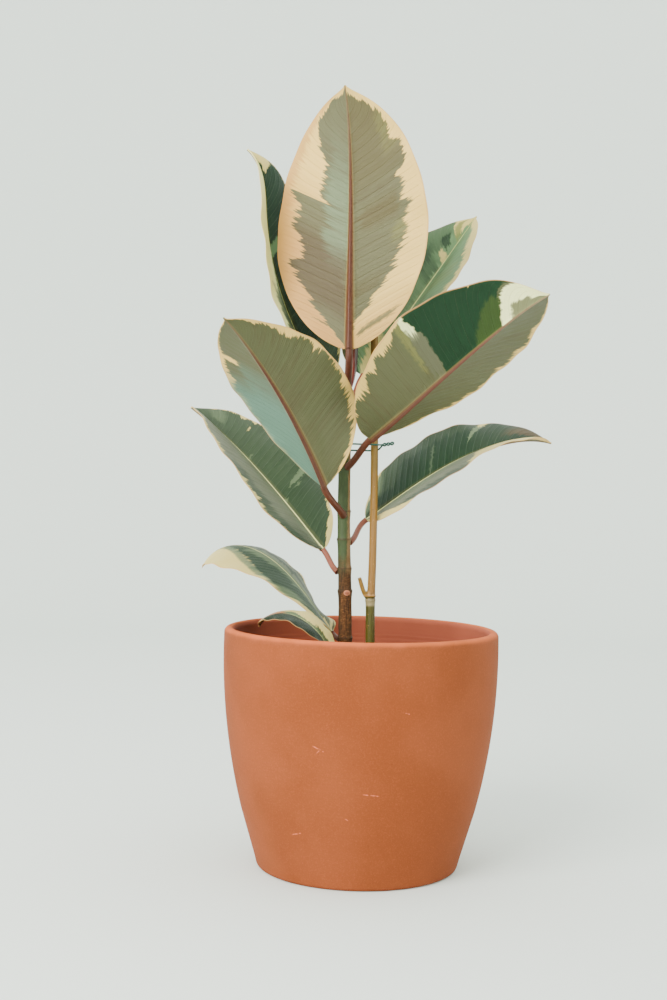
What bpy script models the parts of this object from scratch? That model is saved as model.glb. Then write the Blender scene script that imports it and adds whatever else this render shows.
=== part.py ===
"""Potted rubber plant: a terracotta pot, soil, one stem with nine leaves, a bud, a bamboo cane and its tie.

Metres, +Z up. The origin is on the pot's axis, at its flat underside. The plant's viewer stands at -Y.
Each leaf is one solid: a round petiole that widens into a folded blade with a raised midrib underneath.
"""
import math
from dataclasses import dataclass

import bmesh
import bpy
from mathutils import Quaternion, Vector

GAP = 0.0003
SHARP_ANGLE = 40

# Pot
POT_RADIUS = 0.1055
POT_HEIGHT = 0.182
POT_WALL = 0.008
POT_FLOOR = 0.010
POT_WIDEST_HEIGHT = 0.165
POT_FLANK_TOP = 0.045
POT_CURVE = 1.07
POT_FLANK_SLOPE = 0.30
POT_FOOT_ROUND = 0.004
POT_LIP_ROUND = 0.004
POT_INNER_CORNER = 0.004
POT_RING_HEIGHTS = [0.025, 0.045, 0.070, 0.095, 0.120, 0.145, 0.165]
POT_SEGMENTS = 56

# Soil
SOIL_LEVEL = 0.150
SOIL_DOME = 0.003
SOIL_DOME_RING = (0.050, 0.8)
SOIL_CORNER = 0.006
SOIL_WALL_GAP = 3 * GAP
HOLE_GAP = 1.5 * GAP
HOLE_HEADROOM = 0.02
SOIL_SEGMENTS = 36

# Stem: centre line and radius, from the root end up
STEM_LINE = [
    (-0.0120, 0.0, 0.112), (-0.0122, 0.0, 0.160), (-0.0130, 0.0, 0.203), (-0.0148, 0.0, 0.250),
    (-0.0154, 0.0, 0.280), (-0.0156, 0.0, 0.327), (-0.0150, 0.0, 0.352), (-0.0140, 0.0, 0.366),
]
STEM_RADII = [0.0052, 0.0052, 0.0051, 0.0049, 0.0048, 0.0046, 0.0042, 0.0034]
STEM_NODES = [0.2265, 0.2490, 0.2705, 0.3070, 0.3560]
NODE_SWELL = 0.0004
NODE_SPREAD = 0.003
STEM_SIDES = 12

# Bamboo cane
CANE_LINE = [
    (0.0075, 0.006, 0.060), (0.0073, 0.006, 0.150), (0.0068, 0.006, 0.195), (0.0066, 0.006, 0.203),
    (0.0066, 0.006, 0.207), (0.0073, 0.006, 0.212), (0.0078, 0.006, 0.250), (0.0074, 0.006, 0.320),
    (0.0054, 0.006, 0.410),
]
CANE_RADII = [0.0036, 0.0036, 0.0036, 0.0044, 0.0044, 0.0031, 0.0030, 0.0029, 0.0028]
CANE_STUB = [(0.0055, 0.005, 0.2045), (0.0012, 0.003, 0.2100), (-0.0022, 0.001, 0.2205)]
CANE_STUB_RADII = [0.0024, 0.0017, 0.0014]
CANE_SIDES = 12
CANE_STUB_SIDES = 8

# Wire tie
WIRE_RADIUS = 0.0007
TIE_FRONT_HEIGHT = 0.3235
TIE_BACK_HEIGHT = 0.3190
TIE_TWIST_LENGTH = 0.0085
TIE_TWIST_RISE = 0.0015
TIE_TWIST_TURNS = 1.5
TIE_TWIST_STEPS = 10
TIE_STRAND_RADIUS = 0.0009
TIE_KNOT_REACH = 0.0022
TIE_KNOT_FORWARD = 0.001
TIE_LAP = (45, 75)
TIE_LAP_RISE = 0.3
TIE_STEM_STRETCH = 0.02
TIE_CANE_STRETCH = 0.06
WIRE_SIDES = 6

# Bud
BUD_LINE = [
    (-0.0132, -0.0004, 0.3672), (-0.0122, -0.0004, 0.374), (-0.0108, 0.0, 0.386), (-0.0098, 0.001, 0.402),
    (-0.0094, 0.003, 0.420), (-0.0094, 0.006, 0.440),
]
BUD_RADII = [0.0024, 0.0033, 0.0035, 0.0029, 0.0018, 0.0003]
BUD_SIDES = 10

# Leaves
BLADE_THICKNESS = 0.0009
PETIOLE_RADIUS = 0.0022
MIDRIB_TIP_RADIUS = 0.0004
DRIP_TIP_SHARE = 0.03
WALK_STEPS = 48
BLADE_RINGS = [1, 2, 4, 7, 11, 16, 21, 26, 31, 36, 41, 44, 46, 48]
PETIOLE_RINGS = 6
HOOK_START = 0.75
LAST_SHARE = 0.999
INNER_SHARE = 0.55
RIB_CLEARANCE = 1.3
RIB_DEPTH = 1.4
RIB_SHOULDER = 0.3
PETIOLE_PULL = 0.38
PETIOLE_SIDES = 14


@dataclass
class Leaf:
    """One leaf. Angles are degrees; folds and droops are pairs, at the blade's base and at its tip."""

    name: str
    petiole_start: tuple
    start_heading: float
    start_rise: float
    blade_base: tuple
    heading: float
    rise: float
    roll: float
    length: float
    droop: tuple
    hook: float
    sweep: float
    twist: float
    half_widths: tuple
    left_fold: tuple
    right_fold: tuple
    widest: float
    fullness: float
    petiole_radius: float = PETIOLE_RADIUS


LEAVES = [
    Leaf("leaf_1", (-0.0148, -0.0070, 0.3590), -90, 55, (-0.014, -0.023, 0.394), -86, 99, -15,
         0.200, (1, 28), 8, 4, -15, (0.059, 0.062), (5, 8), (3, 9), 0.48, 1.33, 0.0028),
    Leaf("leaf_2", (-0.0186, 0.0062, 0.3560), 115, 35, (-0.031, 0.040, 0.373), 177, 51, -31,
         0.196, (-30, -20), 56, 0, 11, (0.050, 0.051), (25, 15), (27, 17), 0.41, 1.35),
    Leaf("leaf_3", (-0.0108, 0.0062, 0.3570), 60, 35, (-0.002, 0.027, 0.379), 43, 47, 7,
         0.187, (-3, -2), 0, -4, 3, (0.049, 0.048), (18, 24), (21, 24), 0.41, 1.30),
    Leaf("leaf_4", (-0.0118, -0.0062, 0.3070), -60, 20, (0.004, -0.035, 0.327), -53, 26, 1,
         0.184, (-12, 4), 7, 16, -15, (0.056, 0.062), (5, 22), (-1, 21), 0.51, 1.51, 0.0026),
    Leaf("leaf_5", (-0.0165, -0.0074, 0.2700), -105, 25, (-0.031, -0.029, 0.290), -124, 54, 16,
         0.179, (17, 10), 6, -2, 3, (0.049, 0.047), (31, 27), (36, 18), 0.41, 1.67, 0.0026),
    Leaf("leaf_6", (-0.0212, 0.0046, 0.2262), 140, 30, (-0.031, 0.023, 0.241), 157, 48, -19,
         0.175, (5, 15), 0, -8, 9, (0.050, 0.044), (11, 28), (13, 25), 0.46, 1.30),
    Leaf("leaf_7", (-0.0084, 0.0042, 0.2490), 50, 25, (0.003, 0.027, 0.265), -6, 36, 29,
         0.167, (-4, 52), 5, 9, -7, (0.047, 0.044), (10, 18), (11, 20), 0.42, 1.33),
    Leaf("leaf_8", (-0.0180, 0.0054, 0.1730), 130, 15, (-0.023, 0.013, 0.177), 155, 51, 10,
         0.166, (-3, 102), -4, -20, -30, (0.048, 0.037), (9, -31), (-17, -7), 0.45, 1.39, 0.0020),
    Leaf("leaf_9", (-0.0145, -0.0082, 0.1560), -100, 5, (-0.022, -0.044, 0.164), 152, 66, 11,
         0.081, (34, 76), 19, -4, -22, (0.026, 0.022), (12, -9), (3, -4), 0.41, 1.24, 0.0015),
]

# Colours are linear RGB, with roughness
FINISHES = {
    "pot": ((0.56, 0.21, 0.11), 0.85),
    "soil": ((0.05, 0.035, 0.025), 1.0),
    "stem": ((0.11, 0.15, 0.05), 0.6),
    "leaf": ((0.09, 0.16, 0.08), 0.4),
    "bud_sheath": ((0.35, 0.04, 0.03), 0.35),
    "bamboo_stake": ((0.50, 0.33, 0.12), 0.45),
    "twist_tie": ((0.0, 0.20, 0.14), 0.4),
}


def clear_scene():
    for item in list(bpy.data.objects):
        bpy.data.objects.remove(item, do_unlink=True)


def finish(name, key):
    """A plain material for the named node."""
    colour, roughness = FINISHES[key]
    material = bpy.data.materials.new(name + "_finish")
    material.use_nodes = True
    shader = material.node_tree.nodes["Principled BSDF"]
    shader.inputs["Base Color"].default_value = (*colour, 1.0)
    shader.inputs["Roughness"].default_value = roughness
    shader.inputs["Metallic"].default_value = 0.0
    return material


def add_object(name, mesh_builder, key):
    """Turn a bmesh into a named, shaded object with its faces pointing out."""
    bmesh.ops.recalc_face_normals(mesh_builder, faces=mesh_builder.faces)
    mesh = bpy.data.meshes.new(name)
    mesh_builder.to_mesh(mesh)
    mesh_builder.free()
    mesh.materials.append(finish(name, key))
    mesh.shade_smooth()
    mesh.set_sharp_from_angle(angle=math.radians(SHARP_ANGLE))
    item = bpy.data.objects.new(name, mesh)
    bpy.context.scene.collection.objects.link(item)
    return item


def loft(rings):
    """A closed body through rings that have the same number of points."""
    body = bmesh.new()
    loops = [[body.verts.new(point) for point in ring] for ring in rings]
    count = len(rings[0])
    for lower, upper in zip(loops, loops[1:]):
        for i in range(count):
            j = (i + 1) % count
            body.faces.new((lower[i], lower[j], upper[j], upper[i]))
    body.faces.new(list(reversed(loops[0])))
    body.faces.new(loops[-1])
    return body


def spin_profile(profile, segments):
    """Turn an (r, z) profile that starts and ends on the Z axis."""
    body = bmesh.new()
    verts = [body.verts.new((r, 0.0, z)) for r, z in profile]
    edges = [body.edges.new(pair) for pair in zip(verts, verts[1:])]
    bmesh.ops.spin(body, geom=verts + edges, cent=(0, 0, 0), axis=(0, 0, 1), angle=math.tau,
                   steps=segments, use_merge=True, use_duplicate=False)
    bmesh.ops.remove_doubles(body, verts=body.verts, dist=0.00002)
    return body


def smooth_line(points, values, per_span):
    """Points and values along a Catmull-Rom curve, per_span samples to each stretch."""
    line = [Vector(p) for p in points]
    ends = [line[0] * 2 - line[1]] + line + [line[-1] * 2 - line[-2]]
    path = []
    sizes = []
    for i in range(1, len(ends) - 2):
        for k in range(per_span):
            t = k / per_span
            a, b, c, d = ends[i - 1:i + 3]
            path.append(0.5 * (2 * b + (c - a) * t + (2 * a - 5 * b + 4 * c - d) * t ** 2
                               + (3 * b - 3 * c + d - a) * t ** 3))
            sizes.append(values[i - 1] * (1 - t) + values[i] * t)
    return path + [line[-1]], sizes + [values[-1]]


def tangents(path):
    last = len(path) - 1
    return [(path[min(i + 1, last)] - path[max(i - 1, 0)]).normalized() for i in range(last + 1)]


def tube_rings(path, radii, sides):
    """Round rings square to the path, with no twist between them."""
    directions = tangents(path)
    side = directions[0].orthogonal().normalized()
    rings = []
    for centre, direction, radius in zip(path, directions, radii):
        side = (side - direction * side.dot(direction)).normalized()
        other = direction.cross(side)
        turns = [math.tau * k / sides for k in range(sides)]
        rings.append([centre + radius * (math.cos(a) * side + math.sin(a) * other) for a in turns])
    return rings


def tube(name, path, radii, sides, key):
    return add_object(name, loft(tube_rings(path, radii, sides)), key)


def boolean(target, cutter, operation):
    """Apply an exact Boolean and remove the cutter."""
    modifier = target.modifiers.new(operation.title(), "BOOLEAN")
    modifier.operation = operation
    modifier.solver = "EXACT"
    modifier.object = cutter
    evaluated = target.evaluated_get(bpy.context.evaluated_depsgraph_get())
    mesh = bpy.data.meshes.new_from_object(evaluated)
    target.modifiers.clear()
    target.data = mesh
    bpy.data.objects.remove(cutter, do_unlink=True)


def pot_outer_radius(z):
    """A round shoulder that runs into a straight flank lower down."""
    if z >= POT_FLANK_TOP:
        return POT_RADIUS - POT_CURVE * (POT_WIDEST_HEIGHT - z) ** 2
    at_flank_top = POT_RADIUS - POT_CURVE * (POT_WIDEST_HEIGHT - POT_FLANK_TOP) ** 2
    return at_flank_top - POT_FLANK_SLOPE * (POT_FLANK_TOP - z)


def pot_inner_radius(z):
    return pot_outer_radius(z) - POT_WALL


def arc(centre, radius, start, end, steps):
    """Points on an arc in the (r, z) plane, angles in degrees."""
    angles = [math.radians(start + (end - start) * k / steps) for k in range(steps + 1)]
    return [(centre[0] + radius * math.cos(a), centre[1] + radius * math.sin(a)) for a in angles]


def build_pot():
    foot = POT_FOOT_ROUND
    lip_z = POT_HEIGHT - POT_LIP_ROUND
    profile = [(0.0, 0.0)]
    profile += arc((pot_outer_radius(foot) - foot, foot), foot, -90, -10, 3)
    profile += [(pot_outer_radius(z), z) for z in POT_RING_HEIGHTS]
    profile += arc((pot_outer_radius(lip_z) - POT_LIP_ROUND, lip_z), POT_LIP_ROUND, 0, 180, 6)
    profile += [(pot_inner_radius(z), z) for z in reversed(POT_RING_HEIGHTS)]
    profile += [(pot_inner_radius(POT_FLOOR) - POT_INNER_CORNER, POT_FLOOR), (0.0, POT_FLOOR)]
    return add_object("pot", spin_profile(profile, POT_SEGMENTS), "pot")


def build_soil(stem, cane):
    """Fills the pot from its floor; the stem and the cane stand in holes of their own."""
    bottom = POT_FLOOR + GAP
    heights = [z for z in POT_RING_HEIGHTS if z < SOIL_LEVEL - SOIL_CORNER] + [SOIL_LEVEL]
    profile = [(0.0, bottom), (pot_inner_radius(POT_FLOOR) - SOIL_CORNER, bottom)]
    profile += [(pot_inner_radius(z) - SOIL_WALL_GAP, z) for z in heights]
    ring_radius, ring_share = SOIL_DOME_RING
    profile += [(ring_radius, SOIL_LEVEL + ring_share * SOIL_DOME), (0.0, SOIL_LEVEL + SOIL_DOME)]
    soil = add_object("soil", spin_profile(profile, SOIL_SEGMENTS), "soil")
    top = SOIL_LEVEL + SOIL_DOME + HOLE_HEADROOM / 2
    above = Vector((0, 0, HOLE_HEADROOM))
    for path, radii, sides in (stem, cane):
        buried = [i for i, point in enumerate(path) if point.z < top]
        centres = [path[i].copy() for i in buried]
        centres[0].z -= GAP
        centres.append(centres[-1] + above)
        sizes = [radii[i] + HOLE_GAP for i in buried]
        sizes.append(sizes[-1])
        hole = tube("hole", centres, sizes, sides, "soil")
        boolean(soil, hole, "DIFFERENCE")
    return soil


def stem_path():
    """The stem's centre line and radius, with a slight swelling at each node."""
    path, radii = smooth_line(STEM_LINE, STEM_RADII, 3)
    swollen = []
    for point, radius in zip(path, radii):
        nearest = min(abs(point.z - height) for height in STEM_NODES)
        swollen.append(radius + NODE_SWELL * math.exp(-(nearest / NODE_SPREAD) ** 2))
    return path, swollen


def build_cane(path, radii):
    cane = tube("bamboo_stake", path, radii, CANE_SIDES, "bamboo_stake")
    stub_path = [Vector(p) for p in CANE_STUB]
    stub = tube("stub", stub_path, CANE_STUB_RADII, CANE_STUB_SIDES, "bamboo_stake")
    boolean(cane, stub, "UNION")
    return cane


def height_on(path, z):
    """The point of an upright path at height z."""
    for lower, upper in zip(path, path[1:]):
        if lower.z <= z <= upper.z:
            return lower.lerp(upper, (z - lower.z) / (upper.z - lower.z))
    return path[-1]


def round_post(centre, reach, start, end, steps, first_height, last_height):
    """Points part of the way round an upright post, angles in degrees."""
    points = []
    for k in range(steps + 1):
        share = k / steps
        angle = math.radians(start + (end - start) * share)
        height = first_height + (last_height - first_height) * share
        points.append(Vector((centre.x + reach * math.cos(angle), centre.y + reach * math.sin(angle), height)))
    return points


def build_tie(stem, cane):
    """Wire round the stem and the cane, its two ends twisted together beside the cane."""
    front, back = TIE_FRONT_HEIGHT, TIE_BACK_HEIGHT
    stem_centre = height_on(stem[0], front)
    cane_centre = height_on(cane[0], front)
    clear = WIRE_RADIUS + 2 * GAP
    stem_reach = max(r for p, r in zip(*stem) if abs(p.z - front) < TIE_STEM_STRETCH) + clear
    cane_reach = max(r for p, r in zip(*cane) if abs(p.z - front) < TIE_CANE_STRETCH) + clear
    across = cane_centre - stem_centre
    bearing = math.degrees(math.atan2(across.y, across.x))
    tilt = math.degrees(math.asin((stem_reach - cane_reach) / across.length))
    near_side = bearing - 90 + tilt
    far_side = bearing - 270 - tilt
    front_lap, back_lap = TIE_LAP
    low = back + TIE_LAP_RISE * (front - back)
    loop = round_post(cane_centre, cane_reach, near_side + front_lap, near_side, 2, front, front)
    loop += round_post(stem_centre, stem_reach, near_side, far_side, 6, front, back)
    loop += round_post(cane_centre, cane_reach, far_side, far_side - back_lap, 3, back, low)
    knot = Vector((cane_centre.x + cane_reach + TIE_KNOT_REACH, cane_centre.y - TIE_KNOT_FORWARD, front))
    strands = ([], [])
    for k in range(TIE_TWIST_STEPS + 1):
        share = k / TIE_TWIST_STEPS
        turn = math.tau * TIE_TWIST_TURNS * share
        centre = knot + Vector((share * TIE_TWIST_LENGTH, 0, share * TIE_TWIST_RISE))
        offset = Vector((0, math.cos(turn), math.sin(turn))) * TIE_STRAND_RADIUS
        strands[0].append(centre - offset)
        strands[1].append(centre + offset)
    route = list(reversed(strands[0])) + loop + strands[1]
    path, sizes = smooth_line(route, [WIRE_RADIUS] * len(route), 2)
    return tube("twist_tie", path, sizes, WIRE_SIDES, "twist_tie")


def turned(vector, axis, degrees):
    return Quaternion(axis, math.radians(degrees)) @ vector


def blade_frames(leaf):
    """Points along the midrib, each with its direction, its left side and the blade's upper side."""
    heading, rise = math.radians(leaf.heading), math.radians(leaf.rise)
    ahead = Vector((math.cos(heading) * math.cos(rise), math.sin(heading) * math.cos(rise), math.sin(rise)))
    left = turned(Vector((-math.sin(heading), math.cos(heading), 0.0)), ahead, leaf.roll)
    point = Vector(leaf.blade_base)
    frames = [(point.copy(), ahead, left, ahead.cross(left))]
    for step in range(WALK_STEPS):
        u = (step + 0.5) / WALK_STEPS
        hook = leaf.hook * 8 * max(0.0, u - HOOK_START) / (1 - HOOK_START)
        bend = (leaf.droop[0] * (2 - 2 * u) + leaf.droop[1] * 2 * u + hook) / WALK_STEPS
        ahead = turned(ahead, left, bend)
        up = ahead.cross(left).normalized()
        ahead = turned(ahead, up, leaf.sweep / WALK_STEPS)
        left = turned(up.cross(ahead), ahead, leaf.twist / WALK_STEPS)
        point = point + ahead * leaf.length / WALK_STEPS
        frames.append((point.copy(), ahead, left, ahead.cross(left).normalized()))
    return frames


def half_width(leaf, u, width):
    """A blunt base, the widest place at leaf.widest, and a narrow drip tip."""
    toward_base = leaf.fullness * leaf.widest
    toward_tip = leaf.fullness * (1 - leaf.widest)
    rounded = (u / leaf.widest) ** toward_base * ((1 - u) / (1 - leaf.widest)) ** toward_tip
    return width * rounded * (1 - math.exp(-(1 - u) / DRIP_TIP_SHARE))


def blade_ring(leaf, frame, u):
    """One cross-section: over the upper side from right to left, and back along the underside."""
    point, _, left, up = frame
    rib = leaf.petiole_radius * (1 - u) + MIDRIB_TIP_RADIUS * u
    over = []
    under = []
    for share in (-1.0, -INNER_SHARE, None, 0.0, None, INNER_SHARE, 1.0):
        over_rib = share is None or share == 0.0
        side = -1 if len(over) < 3 else 1
        width = half_width(leaf, u, leaf.half_widths[0] if side > 0 else leaf.half_widths[1])
        width = max(width, RIB_CLEARANCE * rib)
        fold = leaf.left_fold if side > 0 else leaf.right_fold
        angle = math.radians(fold[0] * (1 - u) + fold[1] * u)
        reach = rib if share is None else abs(share) * width
        place = point + left * side * reach * math.cos(angle) + up * reach * math.sin(angle)
        over.append(place + up * BLADE_THICKNESS / 2)
        depth = RIB_DEPTH * rib if share == 0.0 else (RIB_SHOULDER * rib if over_rib else 0.0)
        under.append(place - up * (BLADE_THICKNESS / 2 + depth))
    return over + list(reversed(under))


def petiole_rings(leaf, frames):
    """Round sections from the stem to the blade, turned to match the blade's first section."""
    start = Vector(leaf.petiole_start)
    end, ahead, left, up = frames[0]
    heading, rise = math.radians(leaf.start_heading), math.radians(leaf.start_rise)
    away = Vector((math.cos(heading) * math.cos(rise), math.sin(heading) * math.cos(rise), math.sin(rise)))
    pull = (end - start).length * PETIOLE_PULL
    handles = (start, start + away * pull, end - ahead * pull, end)
    path = []
    for k in range(PETIOLE_RINGS + 1):
        t = k / PETIOLE_RINGS
        weights = ((1 - t) ** 3, 3 * t * (1 - t) ** 2, 3 * t * t * (1 - t), t ** 3)
        path.append(sum((w * h for w, h in zip(weights, handles)), Vector()))
    rings = []
    directions = tangents(path)
    directions[0], directions[-1] = away, ahead
    side = left
    for centre, direction in zip(reversed(path), reversed(directions)):
        side = (side - direction * side.dot(direction)).normalized()
        top = direction.cross(side)
        ring = []
        for k in range(PETIOLE_SIDES):
            angle = math.radians(180 - (k + 0.5) * 360 / PETIOLE_SIDES)
            ring.append(centre + leaf.petiole_radius * (math.cos(angle) * side + math.sin(angle) * top))
        rings.append(ring)
    return list(reversed(rings))


def build_leaf(leaf):
    frames = blade_frames(leaf)
    rings = petiole_rings(leaf, frames)
    for step in BLADE_RINGS:
        u = step / WALK_STEPS
        rings.append(blade_ring(leaf, frames[step], min(u, LAST_SHARE)))
    return add_object(leaf.name, loft(rings), "leaf")


def build_bud():
    path, radii = smooth_line(BUD_LINE, BUD_RADII, 2)
    return tube("bud_sheath", path, radii, BUD_SIDES, "bud_sheath")


def main():
    clear_scene()
    stem_line, stem_radii = stem_path()
    cane_line, cane_radii = smooth_line(CANE_LINE, CANE_RADII, 2)
    build_pot()
    build_soil((stem_line, stem_radii, STEM_SIDES), (cane_line, cane_radii, CANE_SIDES))
    tube("stem", stem_line, stem_radii, STEM_SIDES, "stem")
    build_cane(cane_line, cane_radii)
    build_tie((stem_line, stem_radii), (cane_line, cane_radii))
    for leaf in LEAVES:
        build_leaf(leaf)
    build_bud()


main()
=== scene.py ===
"""Potted rubber plant: the fine surfaces and finishes of every piece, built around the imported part.

Metres, +Z up, in the part's own frame. The plant's viewer stands at -Y.
"""
import math
import random
from dataclasses import dataclass

import bmesh
import bpy
import numpy as np
from bpy.props import FloatProperty, FloatVectorProperty, IntProperty, PointerProperty
from mathutils import Matrix, Quaternion, Vector, noise


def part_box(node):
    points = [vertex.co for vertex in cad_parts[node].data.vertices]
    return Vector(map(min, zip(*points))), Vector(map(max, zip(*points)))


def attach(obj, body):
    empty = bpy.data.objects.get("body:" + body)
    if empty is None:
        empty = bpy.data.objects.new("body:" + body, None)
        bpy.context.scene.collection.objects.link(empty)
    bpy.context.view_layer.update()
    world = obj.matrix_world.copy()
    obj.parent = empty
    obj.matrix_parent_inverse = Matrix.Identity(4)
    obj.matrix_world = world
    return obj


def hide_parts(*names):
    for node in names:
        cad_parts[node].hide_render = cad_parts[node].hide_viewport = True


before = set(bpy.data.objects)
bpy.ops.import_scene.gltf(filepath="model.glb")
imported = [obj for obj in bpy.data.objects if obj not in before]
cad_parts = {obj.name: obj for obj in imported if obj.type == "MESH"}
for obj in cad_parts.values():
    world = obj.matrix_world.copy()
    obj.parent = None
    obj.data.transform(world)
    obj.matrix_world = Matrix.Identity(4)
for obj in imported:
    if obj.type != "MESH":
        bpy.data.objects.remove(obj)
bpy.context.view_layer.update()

bl_info = {
    "name": "Potted Rubber Plant",
    "version": (1, 0, 0),
    "blender": (4, 5, 0),
    "location": "3D View > Sidebar > Rubber Plant",
    "description": "Builds a variegated rubber plant in a terracotta pot around its packed part",
    "category": "Object",
}

LIGHT_LEVEL = 3.5
BRIGHTEST = 0.9
SHOULDER_GAIN = 7.2
SHOULDER_POWER = 3.8
POT_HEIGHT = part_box("pot")[1].z


def linear(value):
    """Linear light of one 0-255 screen value."""
    share = value / 255
    return share / 12.92 if share <= 0.04045 else ((share + 0.055) / 1.055) ** 2.4


def screen(red, green, blue):
    """The surface colour that shows as these 0-255 screen values in this scene's light and film curve."""
    light = [linear(value) for value in (red, green, blue)]
    return tuple(min(BRIGHTEST, v * (1 + SHOULDER_GAIN * v ** SHOULDER_POWER) / LIGHT_LEVEL) for v in light)


# ---------------------------------------------------------------- settings

def length(name, description, default):
    return FloatProperty(name=name, description=description, default=default, unit="LENGTH", precision=4)


def colour(name, description, default):
    return FloatVectorProperty(name=name, description=description, default=default, subtype="COLOR",
                               size=3, min=0.0, max=1.0)


class PotSettings(bpy.types.PropertyGroup):
    """Sizes and colours of the terracotta pot."""

    radius: length("Rim radius", "Outer radius at the pot's widest place", 0.1055)
    height: length("Height", "Height of the pot", POT_HEIGHT)
    wall: length("Wall", "Thickness of the wall", 0.008)
    ring_depth: length("Turning rings", "Depth of the turning rings inside", 0.00022)
    clay: colour("Clay", "Fired clay on the lit shoulder", screen(192, 121, 62))
    clay_dark: colour("Dark clay", "Fired clay in its darker patches", screen(186, 110, 48))
    # The lip colour is a painted highlight along the lip's rounded top, not rubbed clay.
    lip: colour("Lip", "Rubbed clay on the lip", screen(228, 180, 112))
    # The inside colour is the clay with painted shading for the inside wall.
    inside: colour("Inside", "Clay of the inside wall", screen(203, 141, 108))
    bloom: colour("Bloom", "Pale scratches and dust", screen(226, 178, 140))


class SoilSettings(bpy.types.PropertyGroup):
    """Sizes and colours of the potting mix."""

    level: length("Level", "Height of the soil at the wall", 0.150)
    roughness: length("Lumps", "Height of the lumps on the surface", 0.0022)
    crumbs: IntProperty(name="Crumbs", description="Loose crumbs on the surface", default=900, min=0)
    earth: colour("Earth", "Damp potting mix", (0.018, 0.011, 0.007))
    bark: colour("Bark", "Bark chips", (0.10, 0.045, 0.02))
    perlite: colour("Perlite", "White grains", (0.62, 0.60, 0.55))


class StemSettings(bpy.types.PropertyGroup):
    """Colours of the stem, the leaf stalks and the bud."""

    ring_depth: length("Node rings", "How far each node ring stands out", 0.0005)
    bark: colour("Bark", "Corky bark near the soil", screen(130, 82, 32))
    bark_pale: colour("Pale bark", "Cracks and lenticels in the bark", screen(176, 122, 64))
    green: colour("Green", "Young green stem", screen(98, 120, 60))
    tan: colour("Tan", "Dry strips on the young stem", screen(186, 156, 104))
    scar_rim: colour("Scar rim", "Dry rim of the fallen leaf's scar", screen(214, 180, 148))
    scar: colour("Scar", "Middle of the fallen leaf's scar", screen(190, 128, 92))
    bud: colour("Bud", "Bud sheath", screen(176, 46, 32))
    bud_dark: colour("Dark bud", "Shaded side of the bud sheath", screen(98, 28, 20))
    # The bud's pale streak is a painted highlight along the glossy sheath.
    bud_glint: colour("Bud stripe", "Pale stripe along the bud sheath", screen(224, 196, 166))


class CaneSettings(bpy.types.PropertyGroup):
    """Colours of the bamboo cane and the wire tie."""

    gold: colour("Gold", "Dry cane above the node", screen(196, 168, 66))
    # The sunlit gold is painted light on the cane's lit side, not a colour of the cane.
    sunlit: colour("Sunlit", "Deeper gold of the side towards the sun", screen(188, 142, 34))
    ashen: colour("Ashen", "Grey bloom under the node", screen(206, 198, 172))
    green: colour("Green", "Greener cane below the node", screen(138, 130, 22))
    fleck: colour("Fleck", "Pale flecks and the node's rim", screen(214, 190, 130))
    wire: colour("Wire", "Plastic coat of the wire tie", screen(16, 128, 104))


class LeafSettings(bpy.types.PropertyGroup):
    """Sizes and colours of the leaves."""

    thickness: length("Thickness", "Thickness of a blade", 0.0009)
    quilting: length("Quilting", "Height of the blade between two side veins", 0.00016)
    wave: length("Wave", "Height of the waves along a blade's margin", 0.0011)
    camber: length("Camber", "How far each half bulges upward", 0.0012)
    rib: colour("Rib", "Midrib on the upper side", screen(234, 230, 206))
    stalk_red: colour("Stalk", "Red-brown stalk and midrib underneath", screen(146, 76, 46))
    stalk_pink: colour("Pink stalk", "Pinkish stalk of three of the leaves", screen(188, 124, 94))
    stalk_tip: colour("Stalk tip", "Midrib underneath, near the blade's tip", screen(176, 160, 122))
    margin_line: colour("Margin line", "Thin line along the margin", screen(220, 200, 158))


class StageSettings(bpy.types.PropertyGroup):
    """Floor, light and camera."""

    floor: colour("Floor", "Plain pale floor", (0.80, 0.86, 0.825))
    key: FloatProperty(name="Key", description="Power of the window light", default=78.0, unit="POWER")
    fill: FloatProperty(name="Fill", description="Strength of the light all round", default=2.2, min=0.0)
    lens: FloatProperty(name="Lens", description="Focal length in millimetres", default=50.0, min=1.0)


# ---------------------------------------------------------------- shader expressions

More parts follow.
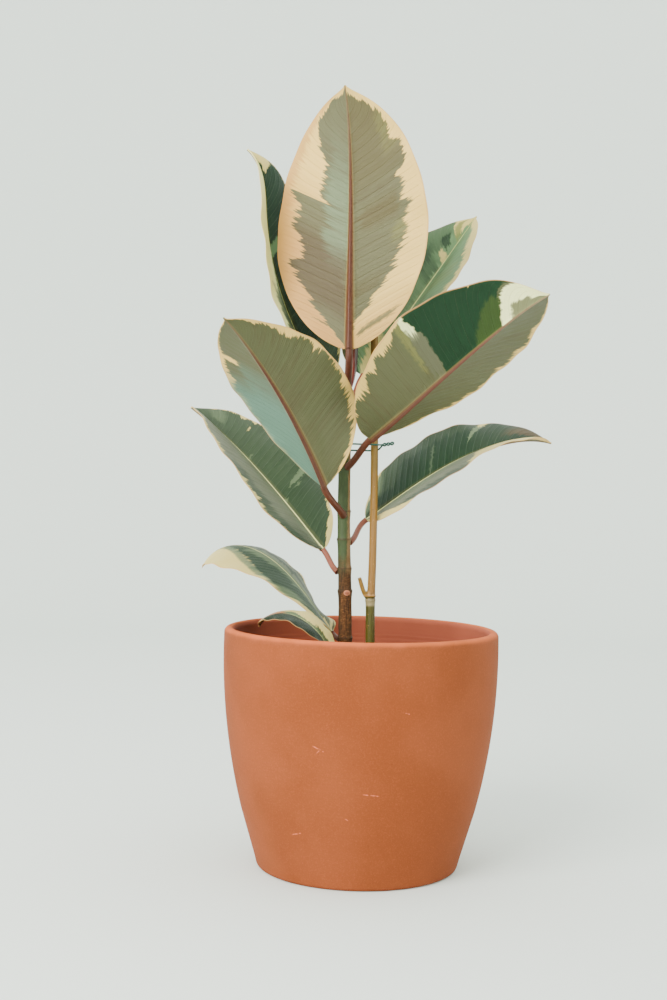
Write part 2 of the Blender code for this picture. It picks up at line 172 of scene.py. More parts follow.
class Wire:
    """A value in a material's node tree. An expression on wires adds the Math nodes for it."""

    def __init__(self, tree, socket=None):
        self.tree = tree
        self.socket = socket

    def node(self, kind, settings, inputs, output=0):
        """Add a node of a kind: its settings first, then the values or links of its sockets."""
        made = self.tree.nodes.new("ShaderNode" + kind)
        for name, value in settings.items():
            if name == "stops":
                set_stops(made.color_ramp, value)
            else:
                setattr(made, name, value)
        for name, value in inputs.items():
            if isinstance(value, Wire):
                self.tree.links.new(value.socket, made.inputs[name])
            elif hasattr(value, "__len__") and len(made.inputs[name].default_value) == 4:
                made.inputs[name].default_value = (*value, 1.0)
            else:
                made.inputs[name].default_value = value
        return Wire(self.tree, made.outputs[output])

    def math(self, operation, *operands):
        return self.node("Math", {"operation": operation}, dict(enumerate(operands)))

    def __add__(self, other):
        return self.math("ADD", self, other)

    def __sub__(self, other):
        return self.math("SUBTRACT", self, other)

    def __rsub__(self, other):
        return self.math("SUBTRACT", other, self)

    def __mul__(self, other):
        return self.math("MULTIPLY", self, other)

    def __truediv__(self, other):
        return self.math("DIVIDE", self, other)

    def __abs__(self):
        return self.math("ABSOLUTE", self)

    __radd__ = __add__
    __rmul__ = __mul__

    def above(self, low, high):
        """0 below low, 1 above high, smooth between them."""
        settings = {"interpolation_type": "SMOOTHSTEP"}
        return self.node("MapRange", settings, {"Value": self, "From Min": low, "From Max": high})

    def within(self, low, high, soft):
        """1 between low and high, 0 outside, smooth over soft at both ends."""
        return self.above(low - soft, low + soft) * (1 - self.above(high - soft, high + soft))

    def ramp(self, stops):
        return self.node("ValToRGB", {"stops": stops}, {0: self})

    def blend(self, below, over):
        """The colour below where this mask is 0, and the one over it where it is 1."""
        settings = {"data_type": "RGBA"}
        return self.node("Mix", settings, {0: self, 6: below, 7: over}, output=2)

    def vector(self, x, y, z):
        return self.node("CombineXYZ", {}, {0: x, 1: y, 2: z})

    def parts(self):
        split = self.node("SeparateXYZ", {}, {0: self}).socket.node
        return [Wire(self.tree, socket) for socket in split.outputs]

    def noise(self, scale, detail=2.0, roughness=0.5):
        """Soft noise at this place, about 0 to 1."""
        inputs = {"Vector": self, "Scale": scale, "Detail": detail, "Roughness": roughness}
        return self.node("TexNoise", {}, inputs)


def set_stops(ramp, stops):
    """Fill a colour ramp with grey stops, given as (place, level)."""
    while len(ramp.elements) > len(stops):
        ramp.elements.remove(ramp.elements[-1])
    while len(ramp.elements) < len(stops):
        ramp.elements.new(1.0)
    for element, (place, level) in zip(ramp.elements, stops):
        element.position = place
        element.color = (level, level, level, 1.0)


def new_material(name, constants):
    """A Principled material with these constant sockets. Returns it, a first wire and its shader node."""
    material = bpy.data.materials.new(name)
    material.use_nodes = True
    shader = material.node_tree.nodes["Principled BSDF"]
    for socket, value in constants.items():
        shader.inputs[socket].default_value = value
    return material, Wire(material.node_tree), shader


def finish_surface(net, shader, base, roughness, height, distance):
    """Link the colour, the roughness and a bump of this height and distance to the shader."""
    bump = net.node("Bump", {}, {"Strength": 1.0, "Distance": distance, "Height": height})
    for socket, wire in (("Base Color", base), ("Roughness", roughness), ("Normal", bump)):
        net.tree.links.new(wire.socket, shader.inputs[socket])


def object_place(net):
    return net.node("TexCoord", {}, {}, output=3)


# ---------------------------------------------------------------- mesh helpers

def add_piece(name, mesh_builder, materials, node, sharp):
    """Turn a bmesh into a shown piece that rides on the part and stands for one of its nodes."""
    bmesh.ops.recalc_face_normals(mesh_builder, faces=mesh_builder.faces)
    mesh = bpy.data.meshes.new(name)
    mesh_builder.to_mesh(mesh)
    mesh_builder.free()
    return add_mesh(name, mesh, materials, node, sharp)


def add_mesh(name, mesh, materials, node, sharp):
    """Show a mesh, smooth but for edges over sharp degrees, as a piece that stands for a node."""
    for material in materials:
        mesh.materials.append(material)
    mesh.shade_smooth()
    mesh.set_sharp_from_angle(angle=math.radians(sharp))
    piece = bpy.data.objects.new(name, mesh)
    bpy.context.scene.collection.objects.link(piece)
    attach(piece, "root")
    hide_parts(node)
    return piece


def spin_profile(profile, segments):
    """Turn an (r, z) profile that starts and ends on the Z axis."""
    body = bmesh.new()
    verts = [body.verts.new((r, 0.0, z)) for r, z in profile]
    edges = [body.edges.new(pair) for pair in zip(verts, verts[1:])]
    bmesh.ops.spin(body, geom=verts + edges, cent=(0, 0, 0), axis=(0, 0, 1), angle=math.tau,
                   steps=segments, use_merge=True, use_duplicate=False)
    bmesh.ops.remove_doubles(body, verts=body.verts, dist=0.00001)
    return body


def loft(rings):
    """A closed body through rings that have the same number of points."""
    body = bmesh.new()
    loops = [[body.verts.new(point) for point in ring] for ring in rings]
    count = len(rings[0])
    for lower, upper in zip(loops, loops[1:]):
        for i in range(count):
            j = (i + 1) % count
            body.faces.new((lower[i], lower[j], upper[j], upper[i]))
    body.faces.new(list(reversed(loops[0])))
    body.faces.new(loops[-1])
    return body


def smooth_line(points, values, per_span):
    """Points and values along a Catmull-Rom curve, per_span samples to each stretch."""
    line = [Vector(p) for p in points]
    ends = [line[0] * 2 - line[1]] + line + [line[-1] * 2 - line[-2]]
    path = []
    sizes = []
    for i in range(1, len(ends) - 2):
        for k in range(per_span):
            t = k / per_span
            a, b, c, d = ends[i - 1:i + 3]
            path.append(0.5 * (2 * b + (c - a) * t + (2 * a - 5 * b + 4 * c - d) * t ** 2
                               + (3 * b - 3 * c + d - a) * t ** 3))
            sizes.append(values[i - 1] * (1 - t) + values[i] * t)
    return path + [line[-1]], sizes + [values[-1]]


def tangents(path):
    last = len(path) - 1
    return [(path[min(i + 1, last)] - path[max(i - 1, 0)]).normalized() for i in range(last + 1)]


def tube_rings(path, radii, sides, relief=None):
    """Rings square to the path. relief(point, outward) is added to the radius at each point."""
    directions = tangents(path)
    side = directions[0].orthogonal().normalized()
    rings = []
    for centre, direction, radius in zip(path, directions, radii):
        side = (side - direction * side.dot(direction)).normalized()
        other = direction.cross(side)
        ring = []
        for k in range(sides):
            turn = math.tau * k / sides
            outward = math.cos(turn) * side + math.sin(turn) * other
            extra = relief(centre, outward) if relief else 0.0
            ring.append(centre + outward * (radius + extra))
        rings.append(ring)
    return rings


def bell(distance, spread):
    return math.exp(-(distance / spread) ** 2)


# ---------------------------------------------------------------- pot

POT_WIDEST_HEIGHT = 0.165
POT_FLANK_TOP = 0.045
POT_CURVE = 1.07
POT_FLANK_SLOPE = 0.30
POT_FLANK_START = 0.008
POT_FLANK_STEPS = 60
POT_ROUND = 0.004
POT_LIP_DROP = 0.002
POT_INSIDE_STEPS = 150
POT_INSIDE_ROUND = 0.004
POT_FLOOR = 0.010
POT_SEGMENTS = 224
RINGING = 2300
RINGING_DRIFT = 400
LIP_RUBBED = 0.006
# Top and bottom of the painted lip highlight, measured down from the pot's top.
LIP_HIGHLIGHT_BAND = (0.0035, 0.0005)
# Radius and height bands of the painted shading on the inside wall.
INSIDE_SHADING_REACH = (0.0985, 0.0995)
INSIDE_SHADING_FROM = (0.14, 0.15)
SCRATCH_WIDTH = 0.00055
SCRATCHES = [
    ((-0.0345, 0.1080), (-0.0270, 0.1045)), ((-0.0320, 0.1025), (-0.0295, 0.1055)),
    ((0.0020, 0.0745), (0.0125, 0.0735)), ((-0.0120, 0.0570), (-0.0085, 0.0550)),
    ((-0.0480, 0.0400), (-0.0420, 0.0420)), ((0.0300, 0.1330), (0.0330, 0.1322)),
]


def pot_outer_radius(pot, z):
    """A round shoulder that runs into a straight flank lower down."""
    if z >= POT_FLANK_TOP:
        return pot.radius - POT_CURVE * (POT_WIDEST_HEIGHT - z) ** 2
    at_flank_top = pot.radius - POT_CURVE * (POT_WIDEST_HEIGHT - POT_FLANK_TOP) ** 2
    return at_flank_top - POT_FLANK_SLOPE * (POT_FLANK_TOP - z)


def arc(centre, radius, start, end, steps):
    """Points on an arc in the (r, z) plane, angles in degrees."""
    angles = [math.radians(start + (end - start) * k / steps) for k in range(steps + 1)]
    return [(centre[0] + radius * math.cos(a), centre[1] + radius * math.sin(a)) for a in angles]


def pot_profile(pot):
    """From the centre of the underside, up the outside, over the lip and down the ringed inside."""
    lip_z = pot.height - POT_ROUND
    top = lip_z - POT_LIP_DROP
    rise = (top - POT_FLANK_START) / POT_FLANK_STEPS
    flank = [POT_FLANK_START + k * rise for k in range(POT_FLANK_STEPS + 1)]
    profile = [(0.0, 0.0), (0.03, 0.0)]
    profile += arc((pot_outer_radius(pot, POT_ROUND) - POT_ROUND, POT_ROUND), POT_ROUND, -90, -10, 8)
    profile += [(pot_outer_radius(pot, z), z) for z in flank]
    profile += arc((pot_outer_radius(pot, lip_z) - POT_ROUND, lip_z), POT_ROUND, 0, 180, 18)
    for k in range(POT_INSIDE_STEPS):
        z = top - k * (top - POT_FLOOR) / POT_INSIDE_STEPS
        ring = pot.ring_depth * math.sin(z * RINGING + 2 * math.sin(z * RINGING_DRIFT)) * min(1.0, k / 8)
        profile.append((pot_outer_radius(pot, z) - pot.wall + ring, z))
    foot = pot_outer_radius(pot, POT_FLOOR) - pot.wall - POT_INSIDE_ROUND
    return profile + [(foot, POT_FLOOR), (0.0, POT_FLOOR)]


def line_mask(across, up, start, end, width):
    """1 on a thin line between two places on the pot's front, given as across and up."""
    run = (end[0] - start[0], end[1] - start[1])
    size = math.hypot(*run)
    ahead = ((across - start[0]) * (run[0] / size) + (up - start[1]) * (run[1] / size)) / size
    beside = abs((across - start[0]) * (run[1] / size) - (up - start[1]) * (run[0] / size))
    return ahead.within(0.0, 1.0, 0.12) * (1 - beside.above(width * 0.4, width))


def terracotta(pot):
    """Grainy fired clay, paler on the lip and inside: a painted highlight along the lip and painted shading
    on the inside wall, with rubbed wear near the top and a few fine scratches on the front.
    """
    material, net, shader = new_material("terracotta", {"Specular IOR Level": 0.25})
    place = object_place(net)
    x, y, z = place.parts()
    cloud = place.noise(14.0, 3.0)
    grain = place.noise(900.0, 3.0, 0.7)
    speck = place.noise(420.0, 1.0)
    base = cloud.above(0.35, 0.65).blend(tuple(pot.clay), tuple(pot.clay_dark))
    base = (grain.above(0.45, 0.75) * 0.12).blend(base, tuple(pot.bloom))
    base = (speck.above(0.72, 0.78) * 0.22).blend(base, tuple(c * 0.45 for c in pot.clay_dark))
    rubbed = z.above(pot.height - LIP_RUBBED, pot.height) * place.noise(60.0).above(0.35, 0.7)
    base = (rubbed * 0.22).blend(base, tuple(pot.bloom))
    # Painted highlight: a pale band where the lip's rounded top catches the light.
    lip = z.above(*(pot.height - drop for drop in LIP_HIGHLIGHT_BAND))
    base = (lip * 0.45).blend(base, tuple(pot.lip))
    # Painted shading: the inside wall above the soil is painted in the paler inside tone.
    inside = (1 - (x * x + y * y).above(*(reach ** 2 for reach in INSIDE_SHADING_REACH))) * z.above(*INSIDE_SHADING_FROM)
    base = (inside * 0.9).blend(base, tuple(pot.inside))
    scratched = 0.0
    for start, end in SCRATCHES:
        scratched = net.math("MAXIMUM", scratched, line_mask(x, z, start, end, SCRATCH_WIDTH))
    front = 1 - y.above(0.0, 0.001)
    scratched = scratched * front * place.noise(500.0).above(0.35, 0.6)
    base = (scratched * 0.8).blend(base, tuple(pot.bloom))
    rings = net.vector(0.0, 0.0, z).noise(420.0, 2.0)
    height = grain * 0.5 + rings * 0.6 + cloud * 0.1
    finish_surface(net, shader, base, 0.78 + grain * 0.18, height, 0.00025)
    return material


def build_pot(pot):
    """The thrown pot, turned as one shell."""
    body = spin_profile(pot_profile(pot), POT_SEGMENTS)
    add_piece("pot_terracotta", body, [terracotta(pot)], "pot", 60)


# ---------------------------------------------------------------- soil

SOIL_FOOT = 0.0106
SOIL_FOOT_INSET = 0.006
SOIL_GAP = 0.0009
SOIL_FLANK = (0.025, 0.045, 0.070, 0.095, 0.120)
SOIL_RINGS = 64
SOIL_SEGMENTS = 180
CRUMB_SEED = 7
CRUMB_SIZES = (0.0007, 0.0028)
CRUMB_SHARES = (0.72, 0.2, 0.08)
CRUMB_INSET = 0.003
BARK_KIND = 1


def earthy(name, tint, spread):
    """Crumbly matte finish whose tint wanders by spread."""
    material, net, shader = new_material(name, {"Specular IOR Level": 0.2})
    place = object_place(net)
    lumps = place.noise(260.0, 4.0, 0.65)
    dark = tuple(c * (1 - spread) for c in tint)
    pale = tuple(min(1.0, c * (1 + 1.6 * spread)) for c in tint)
    base = lumps.above(0.3, 0.7).blend(dark, pale)
    finish_surface(net, shader, base, 0.85 + lumps * 0.15, lumps, 0.0012)
    return material


def soil_height(soil, x, y):
    """Height of the lumpy surface at a place."""
    coarse = noise.noise(Vector((x, y, 0.3)) * 90)
    fine = noise.noise(Vector((x, y, 0.7)) * 420)
    return soil.level + soil.roughness * (0.7 * coarse + 0.45 * fine)


def soil_reach(pot, z):
    """Radius of the soil at a height, just clear of the pot's wall."""
    return pot_outer_radius(pot, z) - pot.wall - SOIL_GAP


def build_soil(soil, pot):
    """The potting mix up to its lumpy surface, with loose crumbs, bark chips and white grains on it."""
    inner = soil_reach(pot, soil.level)
    foot = pot_outer_radius(pot, POT_FLOOR) - pot.wall - SOIL_FOOT_INSET
    profile = [(0.0, SOIL_FOOT), (foot, SOIL_FOOT)]
    profile += [(soil_reach(pot, z), z) for z in SOIL_FLANK]
    profile += [(inner * (1 - k / SOIL_RINGS), soil.level) for k in range(SOIL_RINGS + 1)]
    body = spin_profile(profile, SOIL_SEGMENTS)
    for vert in body.verts:
        if abs(vert.co.z - soil.level) < 1e-6:
            vert.co.z = soil_height(soil, vert.co.x, vert.co.y)
    add_piece("soil_surface", body, [earthy("soil_mix", soil.earth, 0.5)], "soil", 80)
    draw = random.Random(CRUMB_SEED)
    smallest, largest = CRUMB_SIZES
    crumbs = bmesh.new()
    for _ in range(soil.crumbs):
        reach = (inner - CRUMB_INSET) * math.sqrt(draw.random())
        turn = draw.uniform(0, math.tau)
        size = smallest + (largest - smallest) * draw.random() ** 2.5
        x, y = reach * math.cos(turn), reach * math.sin(turn)
        kind = draw.choices((0, BARK_KIND, 2), CRUMB_SHARES)[0]
        flat = draw.uniform(0.35, 0.6) if kind == BARK_KIND else draw.uniform(0.7, 1.0)
        axis = Vector((draw.random(), draw.random(), 0.3)).normalized()
        spin = Quaternion(axis, draw.uniform(0, math.tau))
        sizes = Matrix.Diagonal((size, size * draw.uniform(0.6, 1), size * flat, 1))
        shape = spin.to_matrix().to_4x4() @ sizes
        where = Matrix.Translation((x, y, soil_height(soil, x, y) + size * 0.25))
        made = bmesh.ops.create_icosphere(crumbs, subdivisions=1, radius=1.0, matrix=where @ shape)
        for vert in made["verts"]:
            vert.co += vert.normal * size * 0.25 * noise.noise(vert.co * 900)
            for face in vert.link_faces:
                face.material_index = kind
    finishes = [earthy("soil_crumb", soil.earth, 0.4), earthy("bark_chip", soil.bark, 0.4),
                earthy("perlite_grain", soil.perlite, 0.12)]
    add_piece("soil_crumbs", crumbs, finishes, "soil", 80)


# ---------------------------------------------------------------- stem and bud

STEM_LINE = [
    (-0.0120, 0.0, 0.112), (-0.0122, 0.0, 0.160), (-0.0130, 0.0, 0.203), (-0.0148, 0.0, 0.250),
    (-0.0154, 0.0, 0.280), (-0.0156, 0.0, 0.327), (-0.0150, 0.0, 0.352), (-0.0140, 0.0, 0.366),
]
STEM_RADII = [0.0052, 0.0052, 0.0051, 0.0049, 0.0048, 0.0046, 0.0042, 0.0034]
STEM_NODES = [0.1730, 0.2090, 0.2265, 0.2490, 0.2705, 0.3070, 0.3560]
SCAR_HEIGHT = 0.2090
SCAR_HEADING = -70
SCAR_PLACE = (-0.0118, 0.2092)
SCAR_SIZE = (0.0026, 0.0021)
GREEN_FROM = 0.232
STEM_SHADED_TO = (-0.0185, -0.0150)
STEM_STRIP_FROM = (-0.0131, -0.0115)
NODE_SWELL = 0.0004
SCAR_SWELL = 0.0011
BARK_LUMPS = 0.00022
BARK_CRACKS = 0.00012
GREEN_SMOOTHNESS = 0.35
NODE_RING = (0.0005, 0.0020)
BUD_LINE = [
    (-0.0132, -0.0004, 0.3672), (-0.0122, -0.0004, 0.374), (-0.0108, 0.0, 0.386), (-0.0098, 0.001, 0.402),
    (-0.0094, 0.003, 0.420), (-0.0094, 0.006, 0.440),
]
BUD_RADII = [0.0024, 0.0033, 0.0035, 0.0029, 0.0018, 0.0003]
BUD_SEAM = 0.00028
BUD_FLUTES = 0.00006
BUD_SHADED_FROM = (-0.0098, -0.0084)
# Place and heights of the painted highlight on the bud.
BUD_GLINT = (-0.0122, -0.0110)
BUD_GLINT_HEIGHTS = (0.376, 0.398)


def stem_relief(stem):
    """Swollen nodes with a sharp ring above each, a leaf scar, and lumpy bark near the soil."""
    scar_way = Vector((math.cos(math.radians(SCAR_HEADING)), math.sin(math.radians(SCAR_HEADING)), 0))

    def relief(centre, outward):
        nearest = min(STEM_NODES, key=lambda node: abs(centre.z - node))
        swell = NODE_SWELL * bell(centre.z - nearest, 0.003)
        ring = stem.ring_depth * bell(centre.z - nearest - 0.0012, 0.0007)
        facing = max(0.0, outward.dot(scar_way))
        scar = SCAR_SWELL * facing ** 6 * bell(centre.z - SCAR_HEIGHT, 0.0028)
        lump = BARK_LUMPS * noise.noise(Vector((outward.x * 3, outward.y * 3, centre.z * 160)))
        crack = BARK_CRACKS * noise.noise(Vector((outward.x * 9, outward.y * 9, centre.z * 60)))
        rough = 1.0 if centre.z < GREEN_FROM else GREEN_SMOOTHNESS
        return swell + ring + scar + rough * (lump + crack)

    return relief


def stem_finish(stem):
    """Streaked brown bark low down, green with dry strips above, dark node rings and the scar."""
    material, net, shader = new_material("stem_bark", {"Specular IOR Level": 0.35})
    place = object_place(net)
    x, y, z = place.parts()
    fibre = net.vector(x * 5, y * 5, z).noise(160.0, 3.0, 0.6)
    flake = net.vector(x, y, z * 2.2).noise(420.0, 3.0, 0.65)
    patchy = place.noise(70.0, 2.0)
    bark = flake.above(0.42, 0.68).blend(tuple(stem.bark), tuple(stem.bark_pale))
    bark = (patchy.above(0.5, 0.62) * 0.5).blend(bark, tuple(c * 0.35 for c in stem.bark))
    streak = net.vector(x * 3, y * 3, z * 0.3).noise(330.0, 3.0, 0.6)
    bark = (streak.above(0.50, 0.60) * 0.75).blend(bark, tuple(c * 0.30 for c in stem.bark))
    shaded = 1 - (x + (streak - 0.5) * 0.006).above(*STEM_SHADED_TO)
    bark = (shaded * 0.45).blend(bark, tuple(c * 0.28 for c in stem.green))
    green = fibre.above(0.35, 0.75).blend(tuple(c * 0.72 for c in stem.green), tuple(stem.green))
    strip = (x + (fibre - 0.5) * 0.004).above(*STEM_STRIP_FROM)
    green = (strip * 0.85).blend(green, tuple(stem.tan))
    old = 1 - (z + (patchy - 0.5) * 0.03).above(GREEN_FROM - 0.010, GREEN_FROM + 0.006)
    base = old.blend(green, bark)
    for height in STEM_NODES:
        ring = (z - height).within(*NODE_RING, 0.0006)
        base = (ring * 0.55).blend(base, tuple(c * 0.5 for c in stem.bark))
    beside = (x - SCAR_PLACE[0]) / SCAR_SIZE[0]
    above = (z - SCAR_PLACE[1]) / SCAR_SIZE[1]
    spread = beside * beside + above * above + (patchy - 0.5) * 0.5
    front = 1 - y.above(-0.002, 0.0)
    base = ((1 - spread.above(0.8, 1.2)) * front * 0.9).blend(base, tuple(stem.scar_rim))
    base = ((1 - spread.above(0.25, 0.6)) * front * 0.8).blend(base, tuple(stem.scar))
    roughness = 0.55 + old * 0.25 + fibre * 0.1
    finish_surface(net, shader, base, roughness, flake * 0.7 + fibre * 0.6, 0.0004)
    return material


def build_stem(stem):
    """The upright stem, from inside the soil to the bud."""
    path, radii = smooth_line(STEM_LINE, STEM_RADII, 44)
    rings = tube_rings(path, radii, 40, stem_relief(stem))
    add_piece("stem_bark", loft(rings), [stem_finish(stem)], "stem", 60)


def bud_finish(stem):
    """Glossy red, darker on the far side in painted shade, with a pale painted highlight along it."""
    constants = {"Specular IOR Level": 0.6, "Coat Weight": 0.4, "Coat Roughness": 0.15}
    material, net, shader = new_material("bud_sheath_red", constants)
    place = object_place(net)
    x, y, z = place.parts()
    streak = net.vector(x * 4, y * 4, z * 0.4).noise(300.0, 2.0)
    base = streak.above(0.35, 0.7).blend(tuple(stem.bud), tuple(c * 0.6 for c in stem.bud))
    base = x.above(*BUD_SHADED_FROM).blend(base, tuple(stem.bud_dark))
    # Painted highlight: a pale streak along the glossy sheath.
    glint = (x + (streak - 0.5) * 0.001).within(*BUD_GLINT, 0.0003) * z.within(*BUD_GLINT_HEIGHTS, 0.004)
    base = (glint * 0.8).blend(base, tuple(stem.bud_glint))
    finish_surface(net, shader, base, 0.28 + streak * 0.2, streak, 0.0002)
    return material


def build_bud(stem):
    """The rolled red sheath at the top of the stem."""
    path, radii = smooth_line(BUD_LINE, BUD_RADII, 14)

    def seam(centre, outward):
        wrap = math.atan2(outward.y, outward.x) + (centre.z - 0.37) * 30
        return BUD_FLUTES * math.sin(wrap * 7) - BUD_SEAM * bell(math.sin(wrap / 2), 0.10)

    rings = tube_rings(path, radii, 40, seam)
    add_piece("bud_sheath_red", loft(rings), [bud_finish(stem)], "bud_sheath", 60)


# ---------------------------------------------------------------- cane and tie

CANE_LINE = [
    (0.0075, 0.006, 0.060), (0.0073, 0.006, 0.150), (0.0068, 0.006, 0.195), (0.0066, 0.006, 0.203),
    (0.0066, 0.006, 0.207), (0.0073, 0.006, 0.212), (0.0078, 0.006, 0.250), (0.0074, 0.006, 0.320),
    (0.0054, 0.006, 0.410),
]
CANE_RADII = [0.0036, 0.0036, 0.0036, 0.0041, 0.0040, 0.0031, 0.0030, 0.0029, 0.0028]
CANE_STUB = [(0.0055, 0.005, 0.2045), (0.0012, 0.003, 0.2100), (-0.0022, 0.001, 0.2205)]
CANE_STUB_RADII = [0.0024, 0.0017, 0.0014]
CANE_NODE = 0.2055
CANE_GREEN_TO = 0.2065
# Where the painted sunlit side runs: across the cane, and up to these heights.
CANE_SUNLIT_FROM = (0.0045, 0.0065)
CANE_SUNLIT_TO = (0.24, 0.30)
CANE_RIM = 0.00045
CANE_GROOVE = 0.00035
CANE_FLUTES = 0.00004
STUB_SPLINTERS = 0.0002
NODE_RIM = (0.0004, 0.0022)
NODE_SCORCH = (-0.0014, -0.0002)
NODE_BLOOM = (-0.0068, -0.0010)


def cane_relief(centre, outward):
    """A rolled rim with a groove under it at the node, and faint flutes."""
    rim = CANE_RIM * bell(centre.z - CANE_NODE - 0.0014, 0.0009)
    groove = CANE_GROOVE * bell(centre.z - CANE_NODE + 0.0006, 0.0006)
    flute = CANE_FLUTES * math.sin(math.atan2(outward.y, outward.x) * 9)
    return rim - groove + flute


def bamboo(cane):
    """Fibrous gold cane, greener below the node, with a pale rim, a scorched ring and grey bloom there, and a
    painted sunlit side lower down.
    """
    constants = {"Specular IOR Level": 0.45, "Coat Weight": 0.1, "Coat Roughness": 0.3}
    material, net, shader = new_material("bamboo_cane", constants)
    place = object_place(net)
    x, y, z = place.parts()
    fibre = net.vector(x * 6, y * 6, z * 0.25).noise(260.0, 3.0, 0.6)
    cloud = net.vector(x, y, z * 0.5).noise(55.0, 2.0)
    gold = fibre.above(0.3, 0.75).blend(tuple(c * 0.72 for c in cane.gold), tuple(cane.gold))
    gold = (cloud.above(0.5, 0.7) * 0.3).blend(gold, tuple(cane.green))
    # Painted light: the lower cane's lit side is painted a deeper gold.
    sunlit = x.above(*CANE_SUNLIT_FROM) * (1 - z.above(*CANE_SUNLIT_TO))
    gold = (sunlit * 0.5).blend(gold, tuple(cane.sunlit))
    green = fibre.above(0.35, 0.7).blend(tuple(c * 0.7 for c in cane.green), tuple(cane.green))
    base = z.above(CANE_GREEN_TO - 0.001, CANE_GREEN_TO + 0.002).blend(green, gold)
    from_node = z - CANE_NODE
    rim = from_node.within(*NODE_RIM, 0.0004)
    base = (rim * 0.7).blend(base, tuple(cane.fleck))
    ashen = from_node.within(*NODE_BLOOM, 0.0010) * cloud.above(0.30, 0.50)
    base = (ashen * 0.65).blend(base, tuple(cane.ashen))
    scorch = from_node.within(*NODE_SCORCH, 0.0005)
    base = (scorch * 0.7).blend(base, tuple(c * 0.22 for c in cane.gold))
    fleck = net.vector(x * 1.6, y * 1.6, z).noise(520.0, 1.0).above(0.70, 0.76)
    base = (fleck * 0.75).blend(base, tuple(cane.fleck))
    spot = place.noise(230.0, 1.0).above(0.72, 0.78)
    base = (spot * 0.5).blend(base, tuple(c * 0.3 for c in cane.gold))
    finish_surface(net, shader, base, 0.34 + fibre * 0.25, fibre + fleck * 0.4, 0.00025)
    return material


def build_cane(cane):
    """The cane, and the cut stub of a branch at its node."""
    finish = bamboo(cane)
    path, radii = smooth_line(CANE_LINE, CANE_RADII, 30)
    body = loft(tube_rings(path, radii, 36, cane_relief))
    add_piece("bamboo_cane", body, [finish], "bamboo_stake", 60)
    path, radii = smooth_line(CANE_STUB, CANE_STUB_RADII, 12)

    def splintered(centre, outward):
        return STUB_SPLINTERS * noise.noise(Vector((outward.x * 4, outward.y * 4, centre.z * 220)))

    stub = loft(tube_rings(path, radii, 24, splintered))
    add_piece("bamboo_branch_stub", stub, [finish], "bamboo_stake", 60)


WIRE_RADIUS = 0.0007
GAP = 0.0003
TIED_STEM_RADIUS = 0.0047
TIED_CANE_RADIUS = 0.0029
TIE_FRONT_HEIGHT = 0.3235
TIE_BACK_HEIGHT = 0.3190
TIE_TWIST_LENGTH = 0.0085
TIE_TWIST_RISE = 0.0015
TIE_TWIST_TURNS = 1.5
TIE_TWIST_STEPS = 10
TIE_STRAND_RADIUS = 0.0009
TIE_KNOT_REACH = 0.0022
TIE_KNOT_FORWARD = 0.001
TIE_LAP = (45, 75)
TIE_LAP_RISE = 0.3


def height_on(path, z):
    """The point of an upright path at height z."""
    for lower, upper in zip(path, path[1:]):
        if lower.z <= z <= upper.z:
            return lower.lerp(upper, (z - lower.z) / (upper.z - lower.z))
    return path[-1]


def round_post(centre, reach, start, end, steps, first_height, last_height):
    """Points part of the way round an upright post, angles in degrees."""
    points = []
    for k in range(steps + 1):
        share = k / steps
        angle = math.radians(start + (end - start) * share)
        height = first_height + (last_height - first_height) * share
        x, y = centre.x + reach * math.cos(angle), centre.y + reach * math.sin(angle)
        points.append(Vector((x, y, height)))
    return points


def tie_route():
    """Round the stem and the cane, then the two ends twisted together beside the cane."""
    front, back = TIE_FRONT_HEIGHT, TIE_BACK_HEIGHT
    stem_centre = height_on(smooth_line(STEM_LINE, STEM_RADII, 3)[0], front)
    cane_centre = height_on(smooth_line(CANE_LINE, CANE_RADII, 2)[0], front)
    stem_reach = TIED_STEM_RADIUS + WIRE_RADIUS + 2 * GAP
    cane_reach = TIED_CANE_RADIUS + WIRE_RADIUS + 2 * GAP
    across = cane_centre - stem_centre
    bearing = math.degrees(math.atan2(across.y, across.x))
    tilt = math.degrees(math.asin((stem_reach - cane_reach) / across.length))
    near_side = bearing - 90 + tilt
    far_side = bearing - 270 - tilt
    front_lap, back_lap = TIE_LAP
    low = back + TIE_LAP_RISE * (front - back)
    loop = round_post(cane_centre, cane_reach, near_side + front_lap, near_side, 2, front, front)
    loop += round_post(stem_centre, stem_reach, near_side, far_side, 6, front, back)
    loop += round_post(cane_centre, cane_reach, far_side, far_side - back_lap, 3, back, low)
    knot = Vector((cane_centre.x + cane_reach + TIE_KNOT_REACH, cane_centre.y - TIE_KNOT_FORWARD, front))
    strands = ([], [])
    for k in range(TIE_TWIST_STEPS + 1):
        share = k / TIE_TWIST_STEPS
        turn = math.tau * TIE_TWIST_TURNS * share
        centre = knot + Vector((share * TIE_TWIST_LENGTH, 0, share * TIE_TWIST_RISE))
        offset = Vector((0, math.cos(turn), math.sin(turn))) * TIE_STRAND_RADIUS
        strands[0].append(centre - offset)
        strands[1].append(centre + offset)
    return list(reversed(strands[0])) + loop + strands[1]


def wire_coat(cane):
    """Dull green plastic."""
    constants = {"Specular IOR Level": 0.5, "Coat Weight": 0.15}
    material, net, shader = new_material("green_wire_coat", constants)
    grain = object_place(net).noise(700.0, 2.0)
    base = grain.above(0.35, 0.7).blend(tuple(cane.wire), tuple(c * 0.6 for c in cane.wire))
    finish_surface(net, shader, base, 0.35 + grain * 0.2, grain, 0.0001)
    return material


def build_tie(cane):
    """The wire round stem and cane, with its two ends twisted together."""
    route = tie_route()
    path, sizes = smooth_line(route, [WIRE_RADIUS] * len(route), 6)
    body = loft(tube_rings(path, sizes, 14))
    add_piece("green_wire_tie", body, [wire_coat(cane)], "twist_tie", 60)


# ---------------------------------------------------------------- leaves: shape

